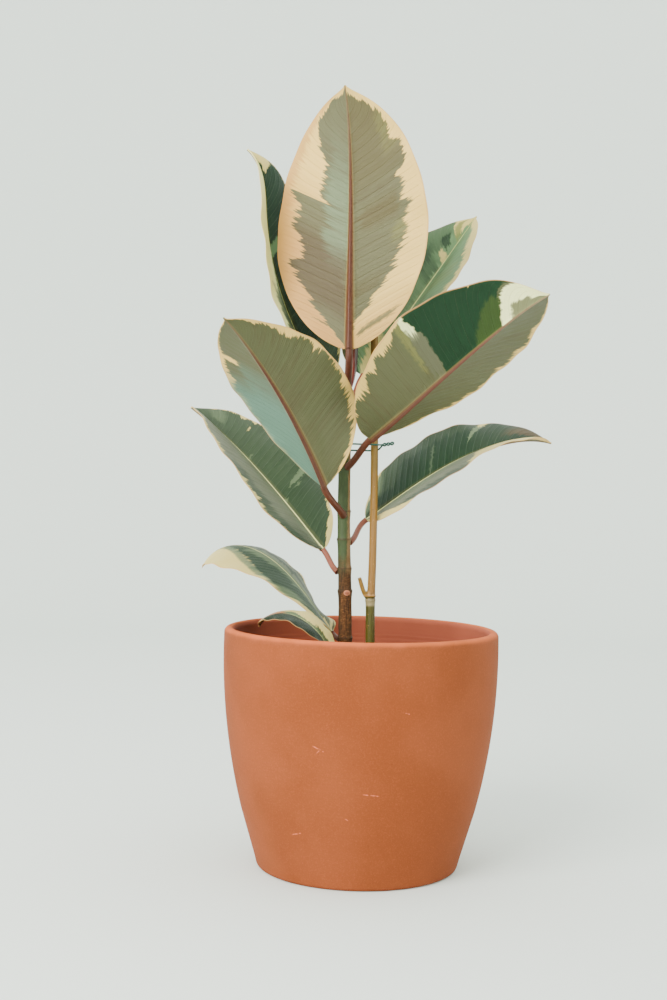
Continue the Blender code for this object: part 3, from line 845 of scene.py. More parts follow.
MIDRIB_TIP_RADIUS = 0.0004
DRIP_TIP_SHARE = 0.03
WALK_STEPS = 48
LAST_PLACE = 0.9999
HOOK_START = 0.75
PETIOLE_PULL = 0.32
PETIOLE_ROOT = 0.003
PETIOLE_FLARE = 0.16
PETIOLE_FLARE_STEPS = 1.2
RIB_CLEARANCE = 1.3
RIB_DEPTH = 1.4
RIB_FLANK = 1.7
GROOVE_DEPTH = 0.35
GROOVE_WIDTH = 0.7
FULL_WIDTH = 0.04
MARGIN_THINNING = 0.6
MARGIN_WAVES = ((17, 3, 1.0), (41, 5, 0.6))
RIGHT_HALF_PHASE = 1.7
BLADE_STEPS = 150
BASE_STEPS = (0.45, 1.9)
LAST_RING = 0.9985
PETIOLE_STEPS = 14
ACROSS_STEPS = 30
OUTER_BUNCHING = 0.92
RIB_STEPS = 4
REACH_UNIT = 100
VEIN_COUNT = 27
VEIN_SLOPE = 0.15
FLATTER_VEINS = {"leaf_6": 0.10}
LOBED_LEAF = "leaf_8"
LOBE_PLACE = 0.055
LOBE_SPREAD = 0.06
LOBE_WIDTH = 0.013
LOBE_RISE = math.radians(14)
LOW_LEAVES = ("leaf_8", "leaf_9")
LOW_LEAF_RELIEF = 0.35
UPPER_FACE, UNDER_FACE, STALK_FACE = 0, 1, 2


@dataclass
class Leaf:
    """One leaf. Angles are degrees; folds and droops are pairs, at the blade's base and at its tip."""

    name: str
    petiole_start: tuple
    start_heading: float
    start_rise: float
    blade_base: tuple
    heading: float
    rise: float
    roll: float
    length: float
    droop: tuple
    hook: float
    sweep: float
    twist: float
    half_widths: tuple
    left_fold: tuple
    right_fold: tuple
    widest: float
    fullness: float
    petiole_radius: float = 0.0022


LEAVES = [
    Leaf("leaf_1", (-0.0148, -0.0070, 0.3590), -90, 55, (-0.014, -0.023, 0.394), -86, 99, -15,
         0.200, (1, 28), 8, 4, -15, (0.059, 0.062), (5, 8), (3, 9), 0.48, 1.33, 0.0028),
    Leaf("leaf_2", (-0.0186, 0.0062, 0.3560), 115, 35, (-0.031, 0.040, 0.373), 177, 51, -31,
         0.196, (-30, -20), 56, 0, 11, (0.050, 0.051), (25, 15), (27, 17), 0.41, 1.35),
    Leaf("leaf_3", (-0.0108, 0.0062, 0.3570), 60, 35, (-0.002, 0.027, 0.379), 43, 47, 7,
         0.187, (-3, -2), 0, -4, 3, (0.049, 0.048), (18, 24), (21, 24), 0.41, 1.30),
    Leaf("leaf_4", (-0.0118, -0.0062, 0.3070), -60, 20, (0.004, -0.035, 0.327), -53, 26, 1,
         0.184, (-12, 4), 7, 16, -15, (0.056, 0.062), (5, 22), (-1, 21), 0.51, 1.51, 0.0026),
    Leaf("leaf_5", (-0.0165, -0.0074, 0.2700), -105, 25, (-0.031, -0.029, 0.290), -124, 54, 16,
         0.179, (17, 10), 6, -2, 3, (0.049, 0.047), (31, 27), (36, 18), 0.41, 1.67, 0.0026),
    Leaf("leaf_6", (-0.0212, 0.0046, 0.2262), 140, 30, (-0.031, 0.023, 0.241), 157, 48, -19,
         0.175, (5, 15), 0, -8, 9, (0.050, 0.044), (11, 28), (13, 25), 0.46, 1.30),
    Leaf("leaf_7", (-0.0084, 0.0042, 0.2490), 50, 25, (0.003, 0.027, 0.265), -6, 36, 29,
         0.167, (-4, 52), 5, 9, -7, (0.047, 0.044), (10, 18), (11, 20), 0.42, 1.33),
    Leaf("leaf_8", (-0.0180, 0.0054, 0.1730), 130, 15, (-0.023, 0.013, 0.177), 155, 51, 10,
         0.166, (-3, 102), -4, -20, -30, (0.048, 0.037), (9, -31), (-17, -7), 0.45, 1.39, 0.0020),
    Leaf("leaf_9", (-0.0145, -0.0082, 0.1560), -100, 5, (-0.022, -0.044, 0.164), 152, 66, 11,
         0.081, (34, 76), 19, -4, -22, (0.026, 0.022), (12, -9), (3, -4), 0.41, 1.24, 0.0015),
]


def turned(vector, axis, degrees):
    return Quaternion(axis, math.radians(degrees)) @ vector


def blade_frames(leaf):
    """Points along the midrib, each with its direction, its left side and the blade's upper side."""
    heading, rise = math.radians(leaf.heading), math.radians(leaf.rise)
    ahead = Vector((math.cos(heading) * math.cos(rise), math.sin(heading) * math.cos(rise), math.sin(rise)))
    left = turned(Vector((-math.sin(heading), math.cos(heading), 0.0)), ahead, leaf.roll)
    point = Vector(leaf.blade_base)
    frames = [(point.copy(), ahead, left, ahead.cross(left))]
    for step in range(WALK_STEPS):
        u = (step + 0.5) / WALK_STEPS
        hook = leaf.hook * 2 * max(0.0, u - HOOK_START) / (1 - HOOK_START) ** 2
        bend = (leaf.droop[0] * (2 - 2 * u) + leaf.droop[1] * 2 * u + hook) / WALK_STEPS
        ahead = turned(ahead, left, bend)
        up = ahead.cross(left).normalized()
        ahead = turned(ahead, up, leaf.sweep / WALK_STEPS)
        left = turned(up.cross(ahead), ahead, leaf.twist / WALK_STEPS)
        point = point + ahead * leaf.length / WALK_STEPS
        frames.append((point.copy(), ahead, left, ahead.cross(left).normalized()))
    return frames


def frame_at(frames, u):
    """The midrib's point, left side and upper side at a share u of its length."""
    place = min(u, LAST_PLACE) * WALK_STEPS
    index = int(place)
    rest = place - index
    first, second = frames[index], frames[index + 1]
    before = frames[max(index - 1, 0)][0]
    after = frames[min(index + 2, WALK_STEPS)][0]
    b, c = first[0], second[0]
    point = 0.5 * (2 * b + (c - before) * rest + (2 * before - 5 * b + 4 * c - after) * rest ** 2
                   + (3 * b - 3 * c + after - before) * rest ** 3)
    left = first[2].lerp(second[2], rest).normalized()
    up = first[3].lerp(second[3], rest).normalized()
    return point, left, up


def half_width(leaf, u, width):
    """A blunt base, the widest place at leaf.widest, and a narrow drip tip."""
    toward_base = leaf.fullness * leaf.widest
    toward_tip = leaf.fullness * (1 - leaf.widest)
    rounded = (u / leaf.widest) ** toward_base * ((1 - u) / (1 - leaf.widest)) ** toward_tip
    return width * rounded * (1 - math.exp(-(1 - u) / DRIP_TIP_SHARE))


def across_steps():
    """Signed places across a blade, -1 to 1, with RIB_STEPS of them each side on the midrib."""
    return np.arange(-ACROSS_STEPS, ACROSS_STEPS + 1) / ACROSS_STEPS


def blade_relief(leaf, look, u, share, phase):
    """Lift by the waves of the margin, by the quilting between the side veins and by the camber."""
    waves = sum(height * np.sin(u * turns + phase * shift) for turns, shift, height in MARGIN_WAVES)
    vein = u - FLATTER_VEINS.get(leaf.name, VEIN_SLOPE) * share
    quilting = look.quilting * (LOW_LEAF_RELIEF if leaf.name in LOW_LEAVES else 1.0)
    bulge = np.sin(math.pi * np.clip(share, 0, 1)) ** 0.6
    quilt = quilting * np.cos(vein * math.tau * VEIN_COUNT) * bulge
    return look.wave * share ** 3 * waves + quilt + look.camber * np.sin(math.pi * share)


def blade_ring(leaf, look, frames, u, seed):
    """Points over the upper side from right to left and back along the underside, with their marks."""
    point, left, up = (np.array(v) for v in frame_at(frames, u))
    rib = leaf.petiole_radius * (1 - u) + MIDRIB_TIP_RADIUS * u
    steps = across_steps()
    size = np.abs(steps)
    on_rib = RIB_STEPS / ACROSS_STEPS
    left_half = steps > 0
    left_width, right_width = (half_width(leaf, u, width) for width in leaf.half_widths)
    width = np.maximum(np.where(left_half, left_width, right_width), RIB_CLEARANCE * rib)
    outer = rib + (width - rib) * np.clip((size - on_rib) / (1 - on_rib), 0, 1) ** OUTER_BUNCHING
    reach = np.where(size <= on_rib, rib * size / on_rib, outer)
    left_angle, right_angle = (math.radians(fold[0] * (1 - u) + fold[1] * u)
                               for fold in (leaf.left_fold, leaf.right_fold))
    angle = np.where(left_half, left_angle, right_angle)
    if leaf.name == LOBED_LEAF:
        lobe = np.where(left_half, 0.0, bell(u - LOBE_PLACE, LOBE_SPREAD))
        widened = width + LOBE_WIDTH * lobe
        reach = np.where(size <= on_rib, reach, rib + (reach - rib) * widened / width)
        width = widened
        angle = angle + LOBE_RISE * lobe
    share = reach / width
    full = np.clip(width / FULL_WIDTH, 0, 1)
    relief = blade_relief(leaf, look, u, share, seed + np.where(left_half, 0.0, RIGHT_HALF_PHASE))
    lift = reach * np.sin(angle) + relief * full
    place = point + np.outer(np.sign(steps) * reach * np.cos(angle), left) + np.outer(lift, up)
    half = look.thickness / 2 * (1 - MARGIN_THINNING * share ** 6)
    groove = GROOVE_DEPTH * rib * np.exp(-(reach / (GROOVE_WIDTH * rib)) ** 2) * (u > 0.02)
    ridge = RIB_DEPTH * rib * (0.5 + 0.5 * np.cos(math.pi * np.clip(reach / (RIB_FLANK * rib), 0, 1)))
    over = place + np.outer(half - groove, up)
    under = place - np.outer(half + ridge, up)
    marks = np.stack([np.full(steps.shape, u), np.sign(steps) * share, reach * REACH_UNIT], axis=1)
    return np.concatenate([over, under[::-1]]), np.concatenate([marks, marks[::-1]])


def petiole_rings(leaf, frames):
    """Round sections from the stem to the blade, turned to match the blade's first section."""
    end, ahead, left, _ = frames[0]
    heading, rise = math.radians(leaf.start_heading), math.radians(leaf.start_rise)
    away = Vector((math.cos(heading) * math.cos(rise), math.sin(heading) * math.cos(rise), math.sin(rise)))
    start = Vector(leaf.petiole_start) - away * PETIOLE_ROOT
    pull = (end - start).length * PETIOLE_PULL
    handles = (start, start + away * pull, end - ahead * pull, end)
    path = []
    for k in range(PETIOLE_STEPS + 1):
        t = k / PETIOLE_STEPS
        weights = ((1 - t) ** 3, 3 * t * (1 - t) ** 2, 3 * t * t * (1 - t), t ** 3)
        path.append(sum((w * h for w, h in zip(weights, handles)), Vector()))
    directions = tangents(path)
    directions[0], directions[-1] = away, ahead
    count = 2 * (2 * ACROSS_STEPS + 1)
    turns = np.radians(180 - (np.arange(count) + 0.5) * 360 / count)
    rings = []
    side = left
    for k in range(PETIOLE_STEPS, -1, -1):
        side = (side - directions[k] * side.dot(directions[k])).normalized()
        top = directions[k].cross(side)
        radius = leaf.petiole_radius * (1 + PETIOLE_FLARE * math.exp(-k / PETIOLE_FLARE_STEPS))
        ring = np.array(path[k]) + radius * (np.outer(np.cos(turns), side) + np.outer(np.sin(turns), top))
        marks = np.tile([k / PETIOLE_STEPS - 1.0, 0.0, 0.0], (count, 1))
        rings.append((ring, marks))
    return rings[::-1]


def leaf_mesh(leaf, look, seed):
    """One closed mesh of stalk and blade, whose faces take the upper, the under or the stalk finish."""
    frames = blade_frames(leaf)
    rings = petiole_rings(leaf, frames)
    petiole_count = len(rings)
    closer, power = BASE_STEPS
    for step in range(1, BLADE_STEPS + 1):
        even = step / BLADE_STEPS
        u = closer * even ** power + (1 - closer) * even
        rings.append(blade_ring(leaf, look, frames, min(u, LAST_RING), seed))
    points = np.concatenate([ring for ring, _ in rings])
    marks = np.concatenate([mark for _, mark in rings])
    count = len(rings[0][0])
    half = count // 2
    faces = []
    kinds = []
    for level in range(len(rings) - 1):
        base = level * count
        for i in range(count):
            j = (i + 1) % count
            faces.append((base + i, base + j, base + count + j, base + count + i))
            place = i if i < half else count - 2 - i
            on_rib = -RIB_STEPS <= place - ACROSS_STEPS < RIB_STEPS
            if level < petiole_count - 1 or (i >= half and on_rib):
                kinds.append(STALK_FACE)
            else:
                kinds.append(UPPER_FACE if i < half - 1 else UNDER_FACE)
    faces.append(tuple(reversed(range(count))))
    faces.append(tuple(range(len(points) - count, len(points))))
    kinds += [STALK_FACE, UPPER_FACE]
    mesh = bpy.data.meshes.new(leaf.name)
    mesh.from_pydata(points.tolist(), [], faces)
    mesh.polygons.foreach_set("material_index", kinds)
    attribute = mesh.attributes.new("blade", "FLOAT_VECTOR", "POINT")
    attribute.data.foreach_set("vector", marks.astype(np.float32).ravel())
    mesh.validate()
    builder = bmesh.new()
    builder.from_mesh(mesh)
    bmesh.ops.recalc_face_normals(builder, faces=builder.faces)
    builder.to_mesh(mesh)
    builder.free()
    return mesh


# ---------------------------------------------------------------- leaves: markings

UPPER_TONES = {
    "cream": screen(222, 216, 180), "peach": screen(222, 212, 172), "pale": screen(160, 176, 142),
    "green": screen(100, 126, 90), "deep": screen(34, 82, 48), "moss": screen(108, 132, 70),
    "sheen": screen(140, 160, 132), "dusk": screen(66, 98, 66), "straw": screen(184, 188, 122),
    "tan": screen(208, 172, 116), "grey": screen(164, 168, 140), "olive": screen(84, 108, 70),
    "white": screen(232, 230, 204), "mist": screen(168, 192, 156), "dark": screen(16, 54, 28),
}
UNDER_TONES = {
    "cream": screen(226, 214, 170), "peach": screen(210, 178, 112), "pale": screen(160, 157, 118),
    "green": screen(146, 148, 104), "deep": screen(26, 86, 44), "moss": screen(92, 122, 48),
    "sheen": screen(150, 184, 172), "dusk": screen(140, 118, 84), "straw": screen(184, 182, 116),
    "tan": screen(208, 172, 116), "grey": screen(156, 156, 124), "olive": screen(150, 136, 88),
    "white": screen(238, 238, 210), "mist": screen(178, 190, 168), "dark": screen(16, 54, 28),
}


@dataclass
class Patch:
    """A patch of one tone: its half (1 left, -1 right), its first and last vein, and its reach across.

    slant moves it along the leaf on its way out, and taper narrows it. Peach keeps to the cream margin.
    """

    tone: str
    half: int
    veins: tuple
    shares: tuple
    strength: float = 1.0
    soft: float = 0.02
    slant: float = 0.0
    taper: float = 0.0


@dataclass
class Markings:
    """The tone of both halves, and how far the green reaches across, as (vein, share) stops for each half."""

    green_left: str
    green_right: str
    margin_left: str
    margin_right: str
    left: tuple
    right: tuple
    patches: tuple


MARKINGS = {
    "leaf_1": Markings(
        "pale", "pale", "cream", "cream",
        ((0.0, 0.05), (0.08, 0.10), (0.12, 0.32), (0.15, 0.36), (0.18, 0.51), (0.24, 0.61), (0.30, 0.65),
         (0.324, 0.74), (0.36, 0.74), (0.40, 0.66), (0.44, 0.78), (0.48, 0.67), (0.52, 0.74), (0.577, 0.72),
         (0.607, 0.83), (0.65, 0.90), (0.70, 0.71), (0.737, 0.83), (0.81, 0.79), (0.918, 0.27), (0.96, 0.1)),
        ((0.0, 0.42), (0.03, 0.50), (0.065, 0.62), (0.137, 0.69), (0.19, 0.83), (0.25, 0.82), (0.275, 0.70),
         (0.345, 0.69), (0.394, 0.80), (0.448, 0.73), (0.495, 0.87), (0.507, 0.85), (0.515, 0.36),
         (0.54, 0.44), (0.57, 0.40), (0.66, 0.41), (0.70, 0.60), (0.738, 0.76), (0.778, 0.80), (0.83, 0.76),
         (0.93, 0.3)),
        (Patch("dusk", -1, (0.10, 0.40), (0.06, 0.85), 0.79, 0.05),
         Patch("mist", -1, (0.34, 0.74), (-0.1, 0.34), 0.60, 0.08),
         Patch("grey", -1, (0.62, 0.95), (0.0, 1.0), 0.45, 0.05),
         Patch("olive", 1, (0.58, 0.95), (0.0, 1.0), 0.65, 0.06),
         Patch("olive", 1, (0.43, 0.52), (0.12, 0.62), 0.75, 0.03),
         Patch("olive", 1, (0.18, 0.23), (0.05, 0.45), 0.50, 0.03),
         Patch("straw", 1, (0.33, 0.40), (0.55, 0.78), 0.45, 0.03),
         Patch("straw", 1, (0.66, 0.78), (0.55, 0.90), 0.35, 0.03),
         Patch("peach", -1, (-0.3, 0.46), (0.1, 1.2), 0.65, 0.16),
         Patch("peach", -1, (0.40, 0.90), (0.84, 1.2), 0.50, 0.08),
         Patch("peach", 1, (-0.3, 0.06), (0.1, 1.2), 0.35, 0.10),
         Patch("green", 1, (0.005, 0.035), (0.30, 0.86), 0.85, 0.010),
         Patch("pale", 1, (0.0, 0.02), (0.10, 0.60), 0.60, 0.012),
         Patch("green", -1, (0.015, 0.025), (0.40, 0.72), 0.8, 0.004)),
    ),
    "leaf_2": Markings(
        "pale", "deep", "white", "cream",
        ((0.0, 0.55), (0.3, 0.50), (0.5, 0.25), (0.6, 0.10), (1.0, 0.0)),
        ((0.0, 0.90), (0.3, 0.93), (0.6, 0.97), (0.72, 1.0), (0.78, 0.95), (0.82, 0.60), (0.86, 0.2),
         (1.0, 0.0)),
        (Patch("green", -1, (-0.1, 0.12), (0.0, 0.9), 0.8, 0.03),
         Patch("mist", -1, (0.555, 0.605), (-0.1, 0.40), 0.9, 0.006),
         Patch("green", 1, (0.0, 0.35), (0.20, 0.75), 0.9, 0.03)),
    ),
    "leaf_3": Markings(
        "mist", "mist", "cream", "cream",
        ((0.0, 0.80), (0.3, 0.90), (0.6, 0.95), (0.68, 1.02), (0.78, 1.02), (0.805, 0.80), (0.83, 0.20),
         (0.90, 0.10)),
        ((0.0, 0.80), (0.1, 0.75), (0.2, 0.84), (0.5, 0.86), (0.62, 0.74), (0.70, 0.60), (0.78, 0.66),
         (0.9, 0.2)),
        (Patch("dusk", 1, (0.58, 0.82), (0.30, 1.1), 0.55, 0.05),
         Patch("deep", 1, (0.54, 0.68), (0.02, 0.55), 0.62, 0.04),
         Patch("deep", 1, (0.62, 0.64), (0.70, 1.0), 0.60, 0.010),
         Patch("deep", 1, (0.735, 0.800), (0.45, 0.12), 0.85, 0.008, 0.0, 0.5),
         Patch("deep", 1, (-0.2, 0.02), (0.45, 1.1), 0.9, 0.02),
         Patch("green", 1, (0.24, 0.52), (0.0, 0.45), 0.45, 0.05),
         Patch("cream", 1, (0.69, 0.745), (0.0, 0.28), 0.95, 0.006, 0.0, 0.7),
         Patch("straw", 1, (0.825, 0.870), (0.05, 0.70), 0.85, 0.010),
         Patch("cream", 1, (0.295, 0.315), (0.10, 0.32), 0.6, 0.005),
         Patch("cream", 1, (-0.1, 0.20), (0.05, 0.30), 0.8, 0.02),
         Patch("green", -1, (0.02, 0.16), (0.12, 0.60), 0.7, 0.02),
         Patch("green", -1, (0.30, 0.70), (0.15, 0.30), 0.5, 0.03),
         Patch("straw", -1, (0.45, 0.56), (0.10, 0.70), 0.3, 0.03)),
    ),
    "leaf_4": Markings(
        "green", "green", "cream", "cream",
        ((0.0, 0.93), (0.3, 0.95), (0.6, 0.94), (0.8, 0.92), (1.0, 0.9)),
        ((0.0, 0.99), (0.06, 0.96), (0.11, 0.88), (0.16, 0.86), (0.19, 0.90), (0.24, 0.86), (0.28, 0.93),
         (0.335, 0.84), (0.37, 0.93), (0.42, 0.92), (0.45, 0.97), (0.60, 1.0), (0.80, 1.0)),
        (Patch("pale", -1, (0.12, 0.39), (0.05, 0.80), 0.30, 0.05),
         Patch("white", -1, (0.415, 0.485), (1.0, 0.66), 0.90, 0.006, 0.0, 0.6),
         Patch("straw", -1, (0.395, 0.430), (0.92, 0.24), 0.60, 0.008, 0.0, 0.6),
         Patch("grey", -1, (0.430, 0.50), (0.10, 0.74), 0.90, 0.008),
         Patch("deep", -1, (0.485, 0.775), (-0.1, 0.62), 1.0, 0.004),
         Patch("deep", -1, (0.56, 0.70), (0.50, 1.1), 1.0, 0.004, -0.13),
         Patch("deep", -1, (0.55, 0.765), (0.55, 1.1), 1.0, 0.004),
         Patch("moss", -1, (0.645, 0.80), (-0.1, 0.52), 0.85, 0.012, 0.16),
         Patch("white", -1, (0.782, 1.1), (-0.1, 1.1), 1.0, 0.005),
         Patch("green", -1, (0.825, 1.0), (-0.1, 0.30), 0.9, 0.008)),
    ),
    "leaf_5": Markings(
        "green", "green", "cream", "cream",
        ((0.0, 0.90), (0.15, 0.92), (0.24, 0.90), (0.28, 0.84), (0.33, 0.97), (0.44, 0.98), (0.48, 0.89),
         (0.55, 0.95), (0.60, 0.80), (0.65, 0.84), (0.70, 0.94), (0.76, 0.86), (0.82, 0.92), (0.95, 0.7)),
        ((0.0, 0.88), (0.1, 0.93), (0.2, 0.93), (0.45, 0.92), (0.55, 0.90), (0.62, 0.95), (0.7, 0.97),
         (0.95, 0.7)),
        (Patch("sheen", -1, (-0.2, 0.42), (0.0, 1.1), 0.85, 0.10),
         Patch("sheen", -1, (0.35, 0.58), (0.0, 0.60), 0.45, 0.06),
         Patch("cream", -1, (0.565, 0.595), (0.55, 1.1), 1.0, 0.008),
         Patch("pale", 1, (0.0, 0.60), (-0.1, 0.16), 0.25, 0.05),
         Patch("grey", 1, (0.0, 0.25), (0.3, 0.9), 0.25, 0.05)),
    ),
    "leaf_6": Markings(
        "grey", "green", "cream", "cream",
        ((0.0, 0.99), (0.26, 0.97), (0.30, 0.85), (0.34, 0.98), (0.50, 0.96), (1.0, 0.8)),
        ((-0.1, 0.25), (0.0, 0.62), (0.05, 0.85), (0.10, 0.98), (0.30, 1.0), (0.60, 0.98), (0.69, 0.97),
         (0.71, 0.84), (0.73, 0.99), (0.85, 0.97), (1.0, 0.8)),
        (Patch("deep", -1, (-0.1, 0.34), (0.0, 0.95), 0.30, 0.06),
         Patch("deep", 1, (-0.1, 0.42), (0.70, 1.1), 0.65, 0.05),
         Patch("deep", 1, (-0.1, 0.10), (0.30, 1.0), 0.45, 0.05),
         Patch("pale", 1, (0.10, 0.16), (0.18, 0.32), 0.6, 0.010),
         Patch("pale", -1, (0.272, 0.298), (0.0, 0.12), 0.85, 0.004, 0.0, 0.8),
         Patch("pale", -1, (0.295, 0.345), (1.0, 0.29), 0.95, 0.003, 0.0, 0.9),
         Patch("pale", -1, (0.280, 0.300), (0.56, 0.36), 0.85, 0.003, 0.0, 0.9),
         Patch("pale", -1, (0.555, 0.580), (0.0, 0.14), 0.85, 0.004, 0.0, 0.8),
         Patch("cream", -1, (0.655, 0.675), (0.68, 0.54), 0.8, 0.003, 0.0, 0.7),
         Patch("pale", -1, (0.79, 0.86), (0.25, 0.85), 0.50, 0.015),
         Patch("pale", 1, (0.0, 0.9), (0.0, 0.30), 0.35, 0.04)),
    ),
    "leaf_7": Markings(
        "deep", "grey", "cream", "cream",
        ((-0.05, 0.80), (0.0, 0.86), (0.06, 1.05), (0.55, 1.05), (0.585, 0.92), (0.62, 1.05), (0.95, 1.05)),
        ((0.0, 0.55), (0.06, 0.80), (0.10, 1.05), (0.34, 1.05), (0.42, 0.85), (0.50, 0.55), (0.6, 0.3),
         (0.8, 0.3)),
        (Patch("green", 1, (-0.1, 0.16), (0.40, 1.0), 0.60, 0.04),
         Patch("pale", 1, (-0.1, 0.05), (0.45, 1.1), 0.75, 0.02),
         Patch("green", 1, (0.10, 0.62), (0.72, 1.1), 0.45, 0.05),
         Patch("dusk", 1, (0.58, 0.80), (0.0, 1.0), 0.60, 0.05),
         Patch("tan", 1, (0.74, 0.95), (0.3, 1.0), 0.14, 0.05),
         Patch("pale", 1, (0.515, 0.560), (0.92, 0.36), 1.0, 0.003, 0.05, 0.9),
         Patch("cream", 1, (0.565, 0.60), (0.84, 1.0), 0.9, 0.006),
         Patch("pale", 1, (0.36, 0.375), (0.05, 0.60), 0.35, 0.006),
         Patch("deep", -1, (0.06, 0.36), (0.74, 1.1), 0.7, 0.03),
         Patch("pale", -1, (0.1, 0.5), (0.05, 0.40), 0.5, 0.05)),
    ),
    "leaf_8": Markings(
        "green", "grey", "cream", "cream",
        ((0.0, 0.80), (0.10, 0.88), (0.20, 0.87), (0.30, 0.72), (0.38, 0.58), (0.48, 0.44), (0.58, 0.34),
         (0.66, 0.26), (0.74, 0.14), (0.78, 0.05)),
        ((0.0, 0.80), (0.2, 0.88), (0.4, 0.90), (0.6, 0.92), (0.70, 0.96), (0.75, 0.30), (0.80, 0.0)),
        (Patch("deep", 1, (0.08, 0.72), (0.12, 0.84), 0.68, 0.04),
         Patch("pale", 1, (0.81, 0.90), (0.10, 0.90), 0.85, 0.020, -0.75),
         Patch("pale", 1, (0.05, 0.15), (0.55, 0.95), 0.80, 0.020),
         Patch("pale", 1, (0.0, 0.60), (-0.1, 0.18), 0.85, 0.030),
         Patch("pale", -1, (0.0, 0.60), (-0.1, 0.18), 0.85, 0.030),
         Patch("deep", -1, (0.05, 0.58), (0.30, 0.52), 0.85, 0.030),
         Patch("dusk", -1, (0.10, 0.60), (0.72, 1.0), 0.70, 0.030),
         Patch("deep", -1, (0.55, 0.76), (0.0, 0.85), 0.60, 0.030),
         Patch("cream", -1, (-0.2, 0.08), (-0.1, 1.1), 0.90, 0.020),
         Patch("deep", -1, (0.00, 0.09), (0.10, 0.70), 0.90, 0.010),
         Patch("deep", -1, (-0.09, -0.04), (0.35, 0.85), 0.90, 0.010)),
    ),
    "leaf_9": Markings(
        "dark", "pale", "cream", "cream",
        ((-0.1, 1.05), (0.62, 1.05), (0.70, 0.70), (0.78, 0.05)),
        ((0.0, 0.10), (0.3, 0.16), (0.45, 0.10), (0.55, 0.34), (0.66, 0.30), (0.74, 0.0)),
        (Patch("deep", -1, (0.03, 0.30), (0.10, 0.30), 0.9, 0.03),
         Patch("green", -1, (0.10, 0.22), (0.45, 0.60), 0.5, 0.02),
         Patch("tan", 1, (0.70, 1.1), (-0.1, 1.1), 0.9, 0.04),
         Patch("tan", -1, (0.66, 1.1), (-0.1, 1.1), 0.9, 0.04)),
    ),
}


VEINS_FROM = -0.2
VEINS_SPAN = 1.25
MARGIN_SOFT = 0.022
FIRM_STRENGTH = 0.8
LEAF_GLOSS = 0.22
LOW_LEAF_GLOSS = 0.08
HALO_EDGE = (1.1, 1.9)
RIM_EDGE = (0.975, 0.992)
PINK_STALKS = ("leaf_3", "leaf_6", "leaf_7")


@dataclass
class Side:
    """What sets one side of the blades apart. The fields from mottle to rib are strengths, 0 to 1."""

    name: str
    tones: dict
    mottle_tone: str
    mottle: float
    hairs: float
    veins: float
    halo: float
    rib: float
    rib_edge: tuple
    roughness: float
    bump: float


UPPER_SIDE = Side("upper", UPPER_TONES, "deep", 0.26, 0.12, 0.34, 0.05, 0.90, (0.22, 0.50), 0.42, 0.00022)
UNDER_SIDE = Side("under", UNDER_TONES, "dusk", 0.42, 0.28, 0.10, 0.18, 0.75, (1.05, 1.40), 0.56, 0.00030)


@dataclass
class Grid:
    """Places on a blade and the grain that breaks up its edges, all as wires."""

    along: Wire
    share: Wire
    reach: Wire
    left: Wire
    vein: Wire
    lane: Wire
    wander: Wire
    coarse: Wire
    fine: Wire
    hair: Wire
    fray: Wire


def blade_grid(net, leaf, seed):
    """Read the blade's marks. The coarse, fine and hair grain is drawn out along the side veins."""
    blade = net.node("Attribute", {"attribute_name": "blade"}, {}, output=1)
    along, across, reach = blade.parts()
    share = abs(across)
    left = across.above(-0.0001, 0.0001)
    wander = net.vector(along * 6, across * 2, seed).noise(1.0, 2.0) - 0.5
    vein = along - share * FLATTER_VEINS.get(leaf.name, VEIN_SLOPE) + wander * 0.010
    lane = vein + left * 3.0
    coarse = net.vector(lane * 26, share * 0.8, seed).noise(1.0, 1.0) - 0.5
    fine = net.vector(lane * 110, share * 2.2, seed + 5.0).noise(1.0, 2.0, 0.6) - 0.5
    hair = net.vector(lane * 330, share * 5.0, seed + 9.0).noise(1.0, 2.0, 0.6) - 0.5
    fray = net.vector(along * 60, across * 14, seed).noise(1.0, 2.0) - 0.5
    return Grid(along, share, reach, left, vein, lane, wander, coarse, fine, hair, fray)


def on_ramp(vein):
    """A vein's place on the ramps, which take in the whole blade and a little more."""
    return (vein - VEINS_FROM) / VEINS_SPAN


def green_limit(grid, marks):
    """How far across the green reaches at each vein."""
    place = on_ramp(grid.vein)
    right, left = (place.ramp([(on_ramp(vein), share) for vein, share in stops])
                   for stops in (marks.right, marks.left))
    return grid.left.blend(right, left).parts()[0]


def patch_along(patch, vein, share):
    """Where a vein lies inside a patch, which may slant and taper on its way out from the midrib."""
    first, last = patch.veins
    if patch.slant:
        vein = vein - share * patch.slant
    if not patch.taper:
        return vein.within(first, last, patch.soft)
    middle, half = (first + last) / 2, (last - first) / 2
    start, end = patch.shares
    outward = (share - start) / (end - start)
    away = abs(vein - middle) + outward * (half * patch.taper)
    return 1 - away.above(half - patch.soft, half + patch.soft)


def patch_masks(grid, marks, ragged, margin):
    """Masks and tones of the patches: those under the cream margin, then those over it."""
    under_margin = []
    over_margin = []
    for patch in marks.patches:
        half = grid.left if patch.half > 0 else 1 - grid.left
        soft = 0.035 + patch.soft * 0.5
        across = (grid.share + ragged).within(min(patch.shares), max(patch.shares), soft)
        along = patch_along(patch, grid.vein + grid.fray * 0.030 + grid.fine * 0.012, grid.share)
        mask = across * along * half * patch.strength
        if patch.tone == "peach":
            mask = mask * margin
        faint = patch.strength < FIRM_STRENGTH and patch.tone not in ("cream", "peach")
        (under_margin if faint else over_margin).append((mask, patch.tone))
    return under_margin, over_margin


